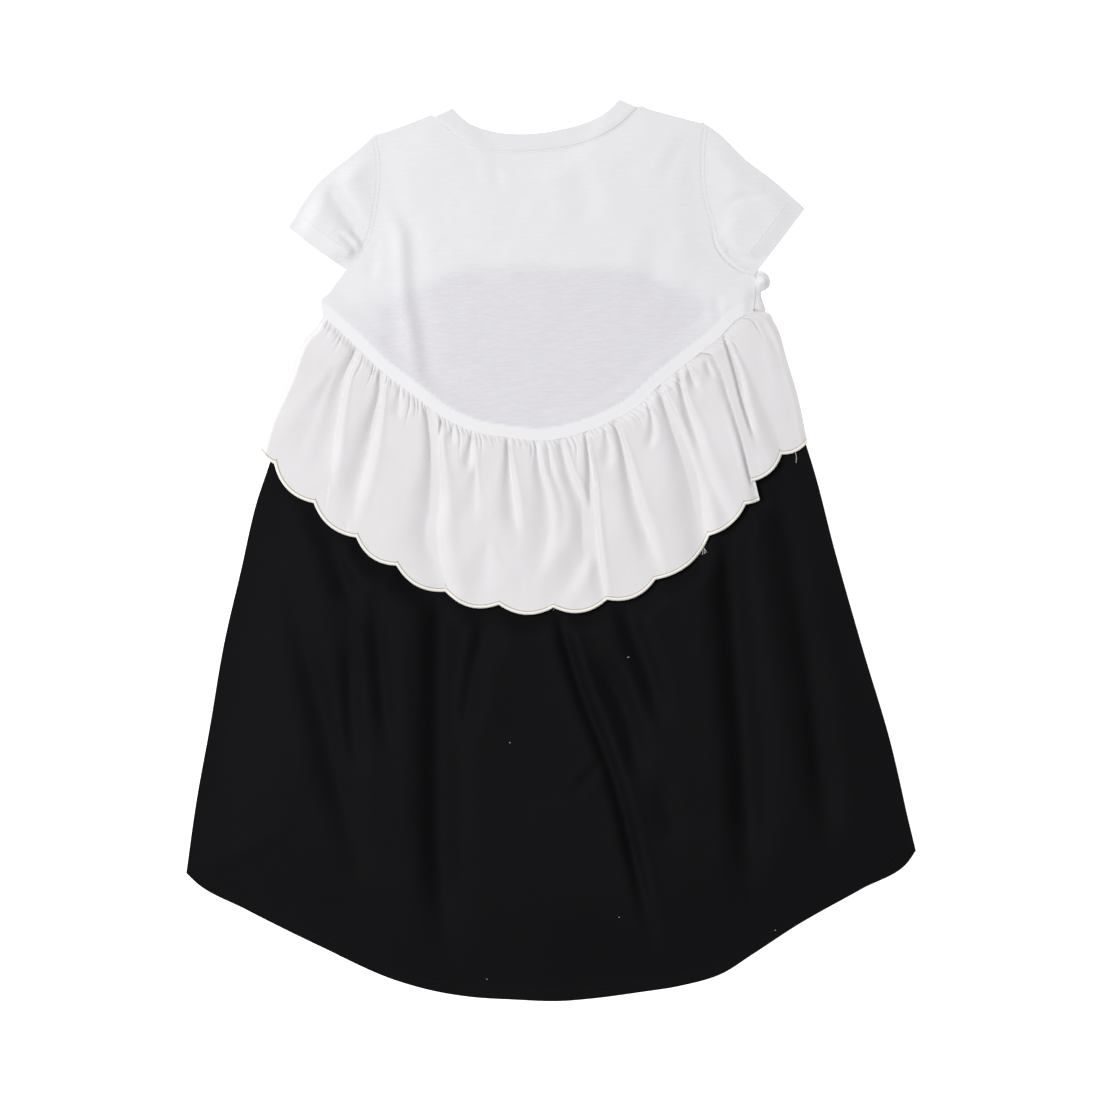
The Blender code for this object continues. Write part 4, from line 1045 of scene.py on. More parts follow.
Fan = namedtuple("Fan", "seam_share hem_share")
FAN = (
    Fan(0.0, 0.0), Fan(0.11, 0.135), Fan(0.185, 0.21), Fan(0.306, 0.40), Fan(0.56, 0.54),
    Fan(0.75, 0.79), Fan(0.88, 0.876), Fan(1.0, 1.0),
)
RUFFLE_FOLDS = (
    Fold("left_rim", 0.8, 9.0, 6.0, 0.4, 0.2, 0.4, 0.1,
         ((-174, 142), (-186, 118), (-197, 92), (-206, 70))),
    Fold("left_first", 4.2, 17.0, 3.6, 0.2, 0.5, 1.0, 0.2,
         ((-153.6, 158), (-159, 146), (-164, 133), (-171, 104), (-175, 74), (-177, 54))),
    Fold("left_second", 4.6, 11.0, 4.6, 0.2, 0.6, 1.0, 0.2,
         ((-134, 140), (-136, 122), (-141, 98), (-147, 74), (-154, 50), (-160, 26))),
    Fold("left_third", 1.2, 5.0, 2.6, 0.2, 0.3, 1.0, 0.0, ((-121, 130), (-121, 118), (-124, 104))),
    Fold("left_deep", 6.2, 15.0, 6.5, 0.1, 0.8, 0.9, 0.5,
         ((-96, 110), (-94, 96), (-92, 82), (-91, 56), (-92, 34), (-94, 16), (-90, -8), (-84, -30))),
    Fold("left_beside", 2.4, 3.6, 3.0, 0.1, 0.3, 1.0, 0.2,
         ((-87.6, 104), (-88.6, 94), (-91, 80), (-91, 64))),
    Fold("left_small", 2.6, 4.4, 3.2, 0.2, 0.4, 1.0, 0.1, ((-63, 94), (-64, 82), (-67, 62))),
    Fold("left_line", 1.0, 7.0, 3.0, 0.1, 0.2, 0.2, 0.1, ((-60, 72), (-61, 48), (-62, 24))),
    Fold("left_twin", 1.4, 3.6, 3.0, 0.2, 0.3, 1.0, 0.0, ((-78, 100), (-79, 92), (-80, 84))),
    Fold("centre_first", 4.0, 8.0, 3.6, 0.2, 0.4, 1.0, 0.1,
         ((-34, 88), (-33, 74), (-32, 58), (-30, 34), (-27, 10))),
    Fold("centre_low", 1.0, 11.0, 9.0, 0.2, 0.3, 0.1, 0.4, ((-50, 10), (-54, -10), (-56, -36))),
    Fold("centre_bent", 2.6, 10.0, 5.0, 0.2, 0.5, 1.0, 0.1,
         ((-11, 86), (-9, 66), (-4, 46), (-2, 20), (-6, -2), (-18, -24))),
    Fold("centre_inner", 1.0, 6.0, 4.4, 0.2, 0.3, 0.8, 0.1,
         ((-3, 84), (2, 60), (8, 40), (7, 14), (-2, -8))),
    Fold("centre_bow", 3.8, 13.0, 5.0, 0.2, 0.8, 1.0, 0.3,
         ((8.8, 87.6), (14, 66), (24, 38), (28, 16), (26, -4), (14, -28), (6, -38))),
    Fold("right_sharp", 6.2, 8.0, 2.6, 0.2, 0.6, 1.0, 0.3,
         ((28.8, 96.4), (31, 80), (34, 54), (34.6, 30), (36, 8), (38, -8), (42, -34))),
    Fold("right_between", 1.4, 5.0, 3.6, 0.2, 0.3, 1.0, 0.1, ((43, 98), (46, 80), (43, 62))),
    Fold("right_soft", 4.4, 9.0, 4.4, 0.2, 0.5, 1.0, 0.2,
         ((52, 102), (56, 90), (62, 66), (68, 38), (78, 8), (86, -18))),
    Fold("right_loop", 1.5, 3.4, 3.0, 0.3, 0.3, 1.0, 0.1, ((77, 118), (81, 104), (81, 92), (76, 80))),
    Fold("right_wide", 5.8, 14.0, 6.0, 0.2, 0.5, 0.9, 0.8,
         ((87.2, 131.6), (92, 120), (101, 98), (110, 70), (117, 44), (121, 18), (122, 2))),
    Fold("right_second", 3.4, 8.0, 5.0, 0.3, 0.6, 1.0, 0.4,
         ((102, 144), (106, 124), (114, 98), (122, 68), (132, 44), (142, 26))),
    Fold("right_short", 2.6, 3.6, 2.6, 0.2, 0.4, 1.0, 0.1, ((108, 149), (112, 140), (117, 128))),
    Fold("right_corner", 2.0, 4.0, 3.0, 0.3, 0.4, 1.0, 0.1, ((121.6, 158), (126, 148), (131, 136))),
    Fold("right_lap", 5.4, 5.5, 4.4, 0.3, 0.5, 1.0, 0.0,
         ((139.5, 170), (143, 160), (149, 140), (153.5, 112), (163, 84))),
    Fold("right_rim", 0.7, 8.0, 7.0, 0.2, 0.3, 0.5, 0.3,
         ((170, 180), (181.6, 158), (192, 124), (198, 96))),
)


def ruffle_columns():
    """For each line of the back ruffle: its ends at the seam and the hem, its layer and its place."""
    seam = moved_aside(back_seam, -TUCK)
    run = run_along(seam)[-1]
    radius = LAYER / 2
    fan = np.array(FAN)
    left = np.linspace(0.0, 1.0, LEFT_COLUMNS)
    right = np.linspace(0.0, 1.0, RIGHT_COLUMNS)
    hidden, shown = left_hem[-1], right_hem[0]
    hem_lap = np.linalg.norm(hidden - shown)
    towards = (hidden - shown) / hem_lap
    before = left_hem[-2] - hidden
    before /= np.linalg.norm(before)
    back = radius * (1 - np.cos(TURN_ANGLES))
    layer = (1 + np.sin(TURN_ANGLES)) / 2
    inside = np.linspace(0.0, 1.0, PLEAT_INSIDE)

    def middle(lap):
        return radius + (lap - 2 * radius) * (1 - inside)

    seam_from_fold = np.r_[PLEAT_SEAM_LAP - back, middle(PLEAT_SEAM_LAP), back]
    pleat = PLEAT_SEAM_SHARE + seam_from_fold / run
    right_start = PLEAT_SEAM_SHARE + radius / run
    top_shares = np.r_[
        left * (PLEAT_SEAM_SHARE + (PLEAT_SEAM_LAP - radius) / run),
        pleat,
        right_start + right * (1 - right_start),
    ]
    hem_left = spaced(left_hem, np.interp(left, fan[:, 0], fan[:, 1]))
    hem_left[-1] = hidden + before * radius
    first = hidden + np.where((TURN_ANGLES < 0)[:, None], before, -towards) * back[:, None]
    second = shown + towards * back[:, None]
    hem_right = spaced(right_hem, right)
    hem_right[0] = shown + towards * radius
    between = shown + towards * middle(hem_lap)[:, None]
    bottom = np.concatenate([hem_left, first, between, second, hem_right])
    left_layers = np.r_[np.zeros(LEFT_COLUMNS), layer, np.ones(PLEAT_INSIDE)]
    layers = np.r_[left_layers, 1 + layer, np.full(RIGHT_COLUMNS, 2.0)]
    return spaced(seam, top_shares), bottom, layers, top_shares * run


def gathered(along_seam, from_seam):
    """Depth of the small gathers, each a narrow valley that fades away from the seam."""
    dice = np.random.default_rng(GATHER_SEED)
    height = np.zeros(from_seam.shape)
    place = GATHER_START
    while place < along_seam.max():
        deep = dice.uniform(*GATHER_DEPTHS)
        long = GATHER_LENGTHS[0] + (GATHER_LENGTHS[1] - GATHER_LENGTHS[0]) * dice.uniform() ** 2
        wide = dice.uniform(*GATHER_WIDTHS)
        lean = dice.uniform(-GATHER_LEAN, GATHER_LEAN)
        off = (along_seam[None] - place - lean * from_seam) / wide
        height += deep * np.exp(-(off**2)) * np.exp(-((from_seam / long) ** 2))
        place += dice.uniform(*GATHER_STEPS)
    return height


ruffle_shares = np.linspace(0.0, 1.0, RUFFLE_ROWS) ** ROW_CROWDING
top, bottom, layers, along_seam = ruffle_columns()
ruffle_plan = panel(top, bottom, RUFFLE_LEFT, RUFFLE_RIGHT, ruffle_shares)
hidden = LEFT_COLUMNS + TURN_MIDDLE
shown = LEFT_COLUMNS + len(TURN_ANGLES) + PLEAT_INSIDE + TURN_MIDDLE
hidden_fold = ruffle_plan[:, hidden]
shown_fold = ruffle_plan[:, shown]
lap = np.linalg.norm(hidden_fold - shown_fold, axis=1)[:, None]
past = np.linalg.norm(ruffle_plan - shown_fold[:, None], axis=2) - lap - PLEAT_CLEAR
number = np.arange(len(layers))
settled = np.where(number > shown + TURN_MIDDLE, 1 - eased(past / PLEAT_SETTLE), 1.0)
lap_zone = np.concatenate([shown_fold, hidden_fold[::-1]])
flat_lap = 1 - over(ruffle_plan, lap_zone, PLEAT_FLAT, SPREAD)
from_seam = nearest_on(ruffle_plan, back_seam)[0]
more_loft = (RUFFLE_HEM_LOFT - RUFFLE_SEAM_LOFT) * eased(ruffle_shares / LOFT_FULL)[:, None]
relief = folded(ruffle_plan, RUFFLE_FOLDS, FOLD_NARROW) - gathered(along_seam, from_seam)
relief += RUFFLE_SWELL * crumpled(ruffle_plan, *RUFFLE_SWELLS)
relief += RUFFLE_CRUMPLE * unevenness(ruffle_plan, *RUFFLE_CRUMPLES)
side_runs = (along_seam, along_seam[-1] - along_seam)
loft = 1.0
for least, side_run in zip(SIDE_LOFTS, side_runs):
    loft = np.minimum(loft, least + (1 - least) * eased(side_run / SIDE_LOFT_RUN))
rise = eased(from_seam / SEAM_RISE)
relief = loft * (RUFFLE_SEAM_LOFT + more_loft) + flat_lap * relief
relief = RUFFLE_TOP_LOFT + (relief - RUFFLE_TOP_LOFT) * (SEAM_RELIEF + (1 - SEAM_RELIEF) * rise)
from_ends = np.minimum(
    nearest_on(ruffle_plan, ruffle_left_end)[0],
    nearest_on(ruffle_plan, ruffle_right_end[END_SKIPPED:])[0],
)
from_fold, _, fold_side = nearest_on(ruffle_plan, shown_fold)
dip_wide = np.interp(ruffle_shares, (0.0, 1.0), PLEAT_DIP_WIDE)[:, None]
dip = PLEAT_DIP * np.exp(-((from_fold / np.where(fold_side > 0, dip_wide, PLEAT_DIP_UNDER)) ** 2))
dip_end = PLEAT_DIP * np.exp(-((nearest_on(ruffle_plan, hidden_fold)[0] / PLEAT_END_WIDE) ** 2))
down = ruffle_shares[:, None]
dip += dip_end * down ** DIP_FADES[1]
relief -= np.where(number < hidden, dip * down ** DIP_FADES[0], 0.0)
relief = np.maximum(relief * eased(from_ends / SIDE_EASE), 0.0)
base = over_front_ruffle(ruffle_plan)
for skirt_outline in (front_skirt_outline, back_skirt_outline):
    base += LAYER * over(ruffle_plan, skirt_outline, SIDE_DROP, SIDE_SPREAD)
ruffle_middle = np.dstack([ruffle_plan, base + LIFT + CLOTH / 2 + relief + LAYER * layers * settled])


def both_faces(middle):
    """The upper and lower face of a sheet, each half its thickness from its middle surface."""
    normal = np.cross(np.gradient(middle, axis=0), np.gradient(middle, axis=1))
    normal *= CLOTH / 2 / np.linalg.norm(normal, axis=2)[..., None]
    return middle + normal, middle - normal


ruffle_upper, ruffle_lower = both_faces(ruffle_middle)
ruffle_back = shell(
    "ruffle_back_poplin", ruffle_upper, ruffle_lower, *grid_faces(*ruffle_plan.shape[:2]), poplin
)
print("ruffle", len(ruffle_back.data.polygons), "faces,", len(RUFFLE_FOLDS), "large folds")

# %% [markdown]
# The back of the bodice is one piece of jersey from the shoulders to the dipped waist. It lies
# almost flat, with one long crease that runs down from the left armhole. Along the waist the seam
# allowances are pressed up inside, and the cloth over them shows as a whiter band, where the mesh's
# doubled attribute is one. Below the front's waist seam the black skirt lies behind the thin cloth,
# and the over_dark attribute darkens the jersey there.

# %% Back of the bodice
BODICE_LOFT = 1.2
BODICE_EDGE = 26.0
BAND_RISE = 2.3  # the seam allowances inside lift the cloth over the ruffle's edge
BAND_RISE_RUN = 16.0
SIDE_RISE_RUN = 9.0
BAND_WIDE = 8.8
BAND_FADE = 1.4
BAND_HIGH = 0.25
BODICE_CRUMPLE = 0.34
BODICE_CRUMPLES = ((28.0, 41), (8.0, 42))
BODICE_STEP = 2.3
DARK_FADE = 17.0  # mm over which the dark comes in at the skirt's edge
DARK_ENDS = (-172.0, 154.0)  # mm, where the dark is least at the left and at the right
DARK_END_RUN = 64.0
DARK_LEAST = 0.25

BODICE_FOLDS = (
    Fold("left_body", 1.2, 6.0, 9.0, 1.6, 0.0, 0.1, 0.5,
         ((-138, 312), (-130, 290), (-120, 270), (-112, 257), (-108.6, 232), (-107, 204), (-101, 170),
          (-96.4, 136), (-94, 121))),
    Fold("left_under", 1.8, 6.0, 4.0, 1.0, 0.2, 0.1, 0.1, ((-145, 262), (-143, 240), (-144, 214))),
    Fold("left_waist", 0.6, 8.0, 8.0, 0.4, 0.4, 0.1, 0.4, ((-122, 196), (-126, 172), (-128, 150))),
    Fold("right_pucker", 0.9, 4.0, 3.0, 0.5, 0.5, 0.2, 0.6, ((133, 202), (135, 190), (138, 176))),
    Fold("right_shoulder", 0.6, 6.0, 6.0, 0.3, 0.3, 0.4, 0.1, ((111, 334), (100, 314), (88, 292))),
    Fold("right_chest", 0.6, 10.0, 10.0, 0.4, 0.4, 0.1, 0.1, ((92, 268), (84, 236), (80, 202))),
    Fold("neck_pucker", 0.5, 5.0, 4.0, 0.3, 0.2, 0.7, 0.1, ((-46, 318), (-44, 306), (-42, 290))),
    Fold("neck_slack", 0.6, 10.0, 10.0, 0.3, 0.3, 0.3, 0.1, ((20, 312), (26, 286), (28, 256))),
)

back_outline = bodice_outline(BACK_NECK_OUTER, back_seam, right_side)
points, faces, rims = filled(back_outline, BODICE_STEP)
inset = depth_inside(points, back_outline)
from_seam = nearest_on(points, back_seam)[0]
relief = BODICE_LOFT + folded(points, BODICE_FOLDS)
relief += BODICE_CRUMPLE * unevenness(points, *BODICE_CRUMPLES)
relief = np.maximum(relief * eased(inset / BODICE_EDGE), 0.0)
from_side = nearest_on(points, right_side)[0]
rise = BAND_RISE * eased((BAND_WIDE + BAND_RISE_RUN - from_seam) / BAND_RISE_RUN)
relief += rise * eased(from_side / SIDE_RISE_RUN)


def over_allowance(places):
    """One in the band where the waist seam's allowances lie inside."""
    return eased((BAND_WIDE + BAND_FADE - nearest_on(places[:, :2], back_seam)[0]) / BAND_FADE)


bodice_back = laid(
    "bodice_back_jersey", points, faces, rims, ground(points) + relief, jersey,
    BAND_HIGH * over_allowance(points),
)


def set_attribute(piece, name, measure):
    """A number on each point of a mesh, worked out from its place in millimetres."""
    places = np.empty(3 * len(piece.data.vertices))
    piece.data.vertices.foreach_get("co", places)
    numbers = measure(places.reshape(-1, 3) / MM)
    piece.data.attributes.new(name, "FLOAT", "POINT").data.foreach_set("value", numbers)


def over_skirt(places):
    """One where the jersey lies over the black skirt, and nought above it and in the pressed band."""
    below = eased(0.5 + depth_inside(places[:, :2], front_skirt_outline) / DARK_FADE)
    left, right = DARK_ENDS
    middle = eased((places[:, 0] - left) / DARK_END_RUN) * eased((right - places[:, 0]) / DARK_END_RUN)
    return below * (1 - over_allowance(places)) * (DARK_LEAST + (1 - DARK_LEAST) * middle)


set_attribute(bodice_back, "over_dark", over_skirt)
set_attribute(bodice_back, "doubled", over_allowance)
print("bodice back", len(bodice_back.data.polygons), "faces")

# %% [markdown]
# Each sleeve is a short tube pressed flat. Its outer edge is a real fold, so the mesh is one loop
# of cloth round two layers, open at the armhole and at the cuff. The cuff's hem is turned up inside
# and stands a little thicker.

# %% Sleeves
SLEEVE_EDGE = 16.0
ARMHOLE_EDGE = (9.0, 34.0)  # mm, at the underarm and at the shoulder
UNDERARM_HIGH = 245.0
CUFF_LOFT = 0.45  # share of the loft that is left at the open cuff
UNDERARM_TRIM = 1.0  # mm that the tube ends short of the armhole's lowest point
UNDERARM_CLEAR = 0.3
SLEEVE_ROWS = 46
SLEEVE_COLUMNS = 66
SLEEVE_STEP = 12.0  # mm, how far apart its crumples are
HEM_WIDE = 13.5
HEM_THICK = 0.2
HEM_FADE = 1.2

SLEEVE_FOLDS = (
    Fold("left_sleeve", 5.6, 11.0, 9.0, 0.3, 0.3, 0.1, 0.8,
         ((-184, 304), (-173, 288), (-161, 271), (-152, 258), (-146, 246), (-145, 236))),
    Fold("left_inner", 1.2, 3.0, 2.4, 0.2, 1.0, 0.3, 0.6,
         ((-171, 254), (-162, 247), (-157, 241), (-157, 232))),
    Fold("right_sleeve", 0.9, 3.6, 2.6, 0.1, 0.1, 0.1, 0.2,
         ((180, 286), (165, 283.5), (150, 281), (140, 275), (131.5, 267.6))),
    Fold("right_armhole", 1.0, 9.0, 9.0, 0.1, 0.1, 0.3, 0.3, ((130, 268), (135, 254), (142, 243))),
    Fold("right_underarm", 3.0, 4.0, 4.0, 0.3, 0.3, 0.4, 0.6,
         ((139, 245), (146, 237), (156, 232), (164, 231))),
)


def flattened_tube(name, upper, lower, upper_height, thicker, material):
    """A tube pressed flat: two layers that meet in a rounded fold at each end."""

    def turn(end, before, half):
        """The fold's rows at one end, half a cloth's thickness outside or inside its middle."""
        outwards = upper[:, end] - upper[:, before]
        outwards /= np.linalg.norm(outwards, axis=1)[:, None]
        radius = upper_height[:, end] / 2
        centre = LIFT + CLOTH / 2 + radius
        rows = []
        for angle in TURN_ANGLES[::-1]:
            share = (1 + np.sin(angle)) / 2
            place = upper[:, end] * share + lower[:, end] * (1 - share)
            place = place + outwards * ((LAYER / 2 + half) * np.cos(angle))
            rows.append(np.column_stack([place, centre + (radius + half) * np.sin(angle)]))
        return np.stack(rows, axis=1)

    def face(half):
        """The whole loop's outer or inner face."""
        extra = np.where(half > 0, thicker, 0.0)
        top_side = np.dstack([upper, upper_height + LIFT + CLOTH / 2 + half + extra])
        under = np.dstack([lower, np.full(lower.shape[:2], LIFT + CLOTH / 2 - half)])[:, ::-1]
        first = turn(0, 1, half)[:, ::-1]
        return np.concatenate([top_side, turn(-1, -2, half), under, first], axis=1)

    outer = face(CLOTH / 2)
    inner = face(-CLOTH / 2)
    return shell(name, outer, inner, *grid_faces(*outer.shape[:2], tube=True), material)


def sleeve(name, armhole, fold, underarm, cuff, outwards, loft, seed):
    """A short sleeve, folded flat along its outer edge and open at both ends."""
    top = moved_aside(spaced(armhole, np.linspace(0.0, 1.0, SLEEVE_COLUMNS)), outwards * SEAM_GAP)
    run = run_along(top)
    back = (top[-2] - top[-1]) / np.linalg.norm(top[-2] - top[-1])
    aside = outwards * np.array((-back[1], back[0]))
    pulled = eased((run - run[-1] + 3 * UNDERARM_TRIM) / (3 * UNDERARM_TRIM))[:, None]
    top = top + pulled * (back * UNDERARM_TRIM + aside * UNDERARM_CLEAR)
    bottom = smooth_line(cuff, SLEEVE_COLUMNS)
    rows = np.linspace(0.0, 1.0, SLEEVE_ROWS)
    plan = panel(top, bottom, fold, underarm, rows)
    near, far = ARMHOLE_EDGE
    reach = near + (far - near) * eased((plan[..., 1] - UNDERARM_HIGH) / far)
    full = eased(nearest_on(plan, top)[0] / reach)
    for edge in (plan[:, 0], plan[:, -1]):
        full *= eased(nearest_on(plan, edge)[0] / SLEEVE_EDGE)
    from_cuff = nearest_on(plan, bottom)[0]
    full *= CUFF_LOFT + (1 - CUFF_LOFT) * eased(from_cuff / SLEEVE_EDGE)
    relief = loft + folded(plan, SLEEVE_FOLDS) + BODICE_CRUMPLE * crumpled(plan, SLEEVE_STEP, seed)
    height = LAYER + np.maximum(relief * full, 0.0)
    hem = HEM_THICK * eased((HEM_WIDE + 1 - from_cuff) / HEM_FADE)
    return flattened_tube(name, plan, plan, height, hem, jersey)


sleeve_left = sleeve(
    "sleeve_left_jersey", left_armhole, LEFT_SLEEVE_FOLD, LEFT_UNDERARM, LEFT_CUFF,
    outwards=1.0, loft=4.4, seed=51,
)
sleeve_right = sleeve(
    "sleeve_right_jersey", right_armhole, RIGHT_SLEEVE_FOLD, RIGHT_UNDERARM, RIGHT_CUFF,
    outwards=-1.0, loft=2.2, seed=52,
)
print("sleeves", len(sleeve_left.data.polygons), "faces each")

# %% [markdown]
# The neckband is one ring of rib. The back half lies over the front half, and both fold round at
# the shoulders. It keeps its width all round because rib is cut as a straight strip and stretched.

# %% Neckband
BAND_ROWS = 12
BAND_COLUMNS = 150
BAND_LOFT = 0.5
BAND_OVER = 0.74  # mm that the band's outer edge stands above the bodice's
BAND_OVER_FROM = 0.4  # share of the band's width where it starts to rise to that

band_across = np.linspace(0.0, 1.0, BAND_ROWS)[:, None, None]


def band_half(inner, outer):
    """One layer of the band, from the neck's edge to the seam on the bodice."""
    first = smooth_line(inner, BAND_COLUMNS)
    return (1 - band_across) * first + band_across * smooth_line(outer, BAND_COLUMNS)


back_band = band_half(BACK_NECK_INNER, BACK_NECK_OUTER)
front_band = band_half(FRONT_NECK_INNER, FRONT_NECK_OUTER)
pillow = BAND_LOFT * np.sin(np.pi * band_across[..., 0]) * np.ones((1, BAND_COLUMNS))
band_height = ground(back_band) + BAND_OVER * eased(2 * (band_across[..., 0] - BAND_OVER_FROM))
neckband = flattened_tube("neckband_rib", back_band, front_band, band_height, pillow, rib)
print("neckband", len(neckband.data.polygons), "faces")

# %% [markdown]
# The ruffle's scallops are edged in satin stitch: thread laid close across the edge, so it reads as
# a ribbed cord under 2 mm wide. The thin beige line along its inner side is painted shade, where the
# raised cord meets the cloth. It could be a bevelled curve, but a strip built on the ruffle's own
# last rows follows every wave of the cloth. Its ribs are too fine for the mesh, so a number that
# counts millimetres along the edge drives a bump.

# %% Satin stitch
SATIN_WIDE = 1.75
SATIN_HIGH = 0.42
SATIN_OUT = 0.35  # mm that it reaches past the cloth, and down beside it
SATIN_BELOW = 0.25  # mm from its lowest side down to its underside, inside the cloth
SATIN_LEAST = 0.08
SATIN_LINE_HIGH = 0.12  # the flat line along the inner side
SATIN_SHARES = np.array((-0.15, 0.0, 0.18, 0.4, 0.62, 0.82, 0.94, 1.0, 1.2, 1.42))  # of its width
SATIN_SHADE_FROM = (0.98, 1.06)  # shares of the width between which the painted shade line starts
SATIN_ROWS = 9  # the ruffle's last rows that can lie under it
STITCH_PITCH = 0.9  # mm, real stitches are about 0.4 apart
LEAST_STEP = 1e-4

satin, satin_tree, satin_shader = cloth("rayon_satin_stitch_cream", 0.55, sheen=0.1)
across_edge = add(satin_tree, "Attribute", {"attribute_name": "across_edge"}).outputs["Fac"]
along_edge = add(satin_tree, "Attribute", {"attribute_name": "along_edge"}).outputs["Fac"]
# The beige line along the strip's inner side is painted shade, where the raised cord meets the cloth.
painted_inner_shade = add(
    satin_tree, "MapRange", {"clamp": True}, Value=across_edge, n1=SATIN_SHADE_FROM[0],
    n2=SATIN_SHADE_FROM[1], n3=0.0, n4=1.0,
)
coloured(satin_tree, satin_shader, painted_inner_shade.outputs[0], "#fbf9f4", "#bdb2a0")
turns = add(satin_tree, "Math", {"operation": "MULTIPLY"}, n0=along_edge, n1=2 * np.pi / STITCH_PITCH)
ribs = add(satin_tree, "Math", {"operation": "SINE"}, n0=turns.outputs[0])
roughened(satin_tree, satin_shader, ribs.outputs[0], 0.2, strength=0.35)


def satin_edge(name, upper):
    """A raised strip along the last row of a cloth's upper side, given as a grid of points."""
    columns = upper.shape[1]
    hem = upper[-1]
    inward = moved_aside(hem[:, :2], -1.0) - hem[:, :2]
    rows = upper[::-1][:SATIN_ROWS]
    reach = ((rows - rows[0])[..., :2] * inward).sum(-1)
    least = np.arange(SATIN_ROWS)[:, None] * LEAST_STEP
    reach = np.maximum.accumulate(np.maximum(reach, least), axis=0)
    wanted = np.maximum(SATIN_SHARES, 0.0) * SATIN_WIDE
    strip = np.empty((len(SATIN_SHARES), columns, 3))
    for column, axis in np.ndindex(columns, 3):
        strip[:, column, axis] = np.interp(wanted, reach[:, column], rows[:, column, axis])
    strip[0] -= SATIN_OUT * np.column_stack([inward, np.ones(columns)])
    round_share = 2 * np.clip(SATIN_SHARES, 0, 1) - 1
    bulge = SATIN_LEAST + SATIN_HIGH * np.sqrt(1 - round_share**2)
    bulge = np.where(SATIN_SHARES > 1.0, SATIN_LINE_HIGH, bulge)
    up = np.array((0.0, 0.0, 1.0))
    faces, rims = grid_faces(*strip.shape[:2])
    piece = shell(name, strip + up * bulge[:, None, None], strip - up * SATIN_BELOW, faces, rims, satin)
    across = np.repeat(SATIN_SHARES, columns)
    lengths = np.tile(run_along(hem), len(SATIN_SHARES))
    for attribute, numbers in (("across_edge", across), ("along_edge", lengths)):
        numbers = np.r_[numbers, numbers, np.zeros(len(rims[0]))]
        piece.data.attributes.new(attribute, "FLOAT", "POINT").data.foreach_set("value", numbers)
    return piece


edge_left = satin_edge("satin_edge_left", ruffle_upper[:, : hidden + 1])
edge_right = satin_edge("satin_edge_right", ruffle_upper[:, shown:])
front_ruffle_upper = np.dstack([front_ruffle_plan, front_ruffle_height + LIFT + CLOTH])
edge_front = satin_edge("satin_edge_front", front_ruffle_upper)
print("satin edge", round(run_along(left_hem)[-1] + run_along(right_hem)[-1]), "mm long at the back")

# %% [markdown]
# The dress is topstitched: a pair of rows on each sleeve along its armhole, one row along each
# sleeve's hem, one on the bodice under the neckband, and a black row above the skirt's hem. Each
# stitch is a short capsule that dips at both ends, and a ray sent straight down finds the cloth that
# it lies on. Real stitches are 2.5 mm long and 0.3 mm thick.

# %% Topstitching
STITCH_LONG = 2.5
STITCH_GAP = 0.55
STITCH_THICK = 0.36
TUBE_SIDES = 6
STITCH_RINGS = np.array((0.0, 0.12, 0.5, 0.88, 1.0))
STITCH_SIZES = np.array((0.35, 1.0, 1.0, 1.0, 0.35))  # share of the thickness at each ring
STITCH_STANDS = np.array((-0.25, 0.25, 0.25, 0.25, -0.25))  # of its thickness, over the cloth
RAY_START = 50.0  # mm, well over the dress
ENDS_LEFT_OUT = 0.02  # share of a line that has no stitches, at either end


def surface_of(piece):
    """A piece's faces, ready to be hit by rays."""
    return BVHTree.FromObject(piece, bpy.context.evaluated_depsgraph_get())


def heights_on(surface, flat):
    """Height in millimetres of a piece's upper side at these points, or nan off its edge."""
    found = []
    for x, y in flat:
        hit = surface.ray_cast(Vector((x, y, RAY_START)) * MM, Vector((0.0, 0.0, -1.0)))[0]
        found.append(hit.z / MM if hit else np.nan)
    return np.array(found)


def tube(path, radii, first):
    """Corners and faces of a closed tube round a path, numbered from first."""
    along = np.gradient(path, axis=0)
    along /= np.linalg.norm(along, axis=1)[:, None]
    side = np.cross(along, (0.0, 0.0, 1.0))
    side /= np.linalg.norm(side, axis=1)[:, None]
    above = np.cross(side, along)
    turns = np.linspace(0.0, 2 * np.pi, TUBE_SIDES, endpoint=False)[None, :, None]
    ring = np.cos(turns) * side[:, None] + np.sin(turns) * above[:, None]
    corners = path[:, None] + radii[:, None, None] * ring
    number = first + np.arange(len(path) * TUBE_SIDES).reshape(-1, TUBE_SIDES)
    following = np.roll(number, -1, axis=1)
    walls = np.stack([number[:-1], following[:-1], following[1:], number[1:]], axis=-1)
    ends = [tuple(number[0][::-1]), tuple(number[-1])]
    return corners.reshape(-1, 3), [tuple(wall) for wall in walls.reshape(-1, 4)] + ends


def tubes(name, paths, radii, material):
    """Many short tubes as one piece, all with the same number of points and the same radii."""
    corners = []
    faces = []
    for number, path in enumerate(paths):
        more, walls = tube(path, radii, number * len(path) * TUBE_SIDES)
        corners.append(more)
        faces += walls
    return mesh_piece(name, np.concatenate(corners), faces, material)


def stitched(name, piece, line, material):
    """A row of stitches along a line, lying on a piece."""
    surface = surface_of(piece)
    total = run_along(line)[-1]
    paths = []
    for start in np.arange(STITCH_GAP, total - STITCH_LONG, STITCH_LONG + STITCH_GAP):
        flat = spaced(line, (start + STITCH_RINGS * STITCH_LONG) / total)
        high = heights_on(surface, flat)
        if not np.isnan(high).any():
            paths.append(np.column_stack([flat, high + STITCH_STANDS * STITCH_THICK]))
    print(name, len(paths), "stitches")
    return tubes(name, paths, STITCH_SIZES * STITCH_THICK / 2, material)


Seam = namedtuple("Seam", "name carrier line aside trim finish thread")

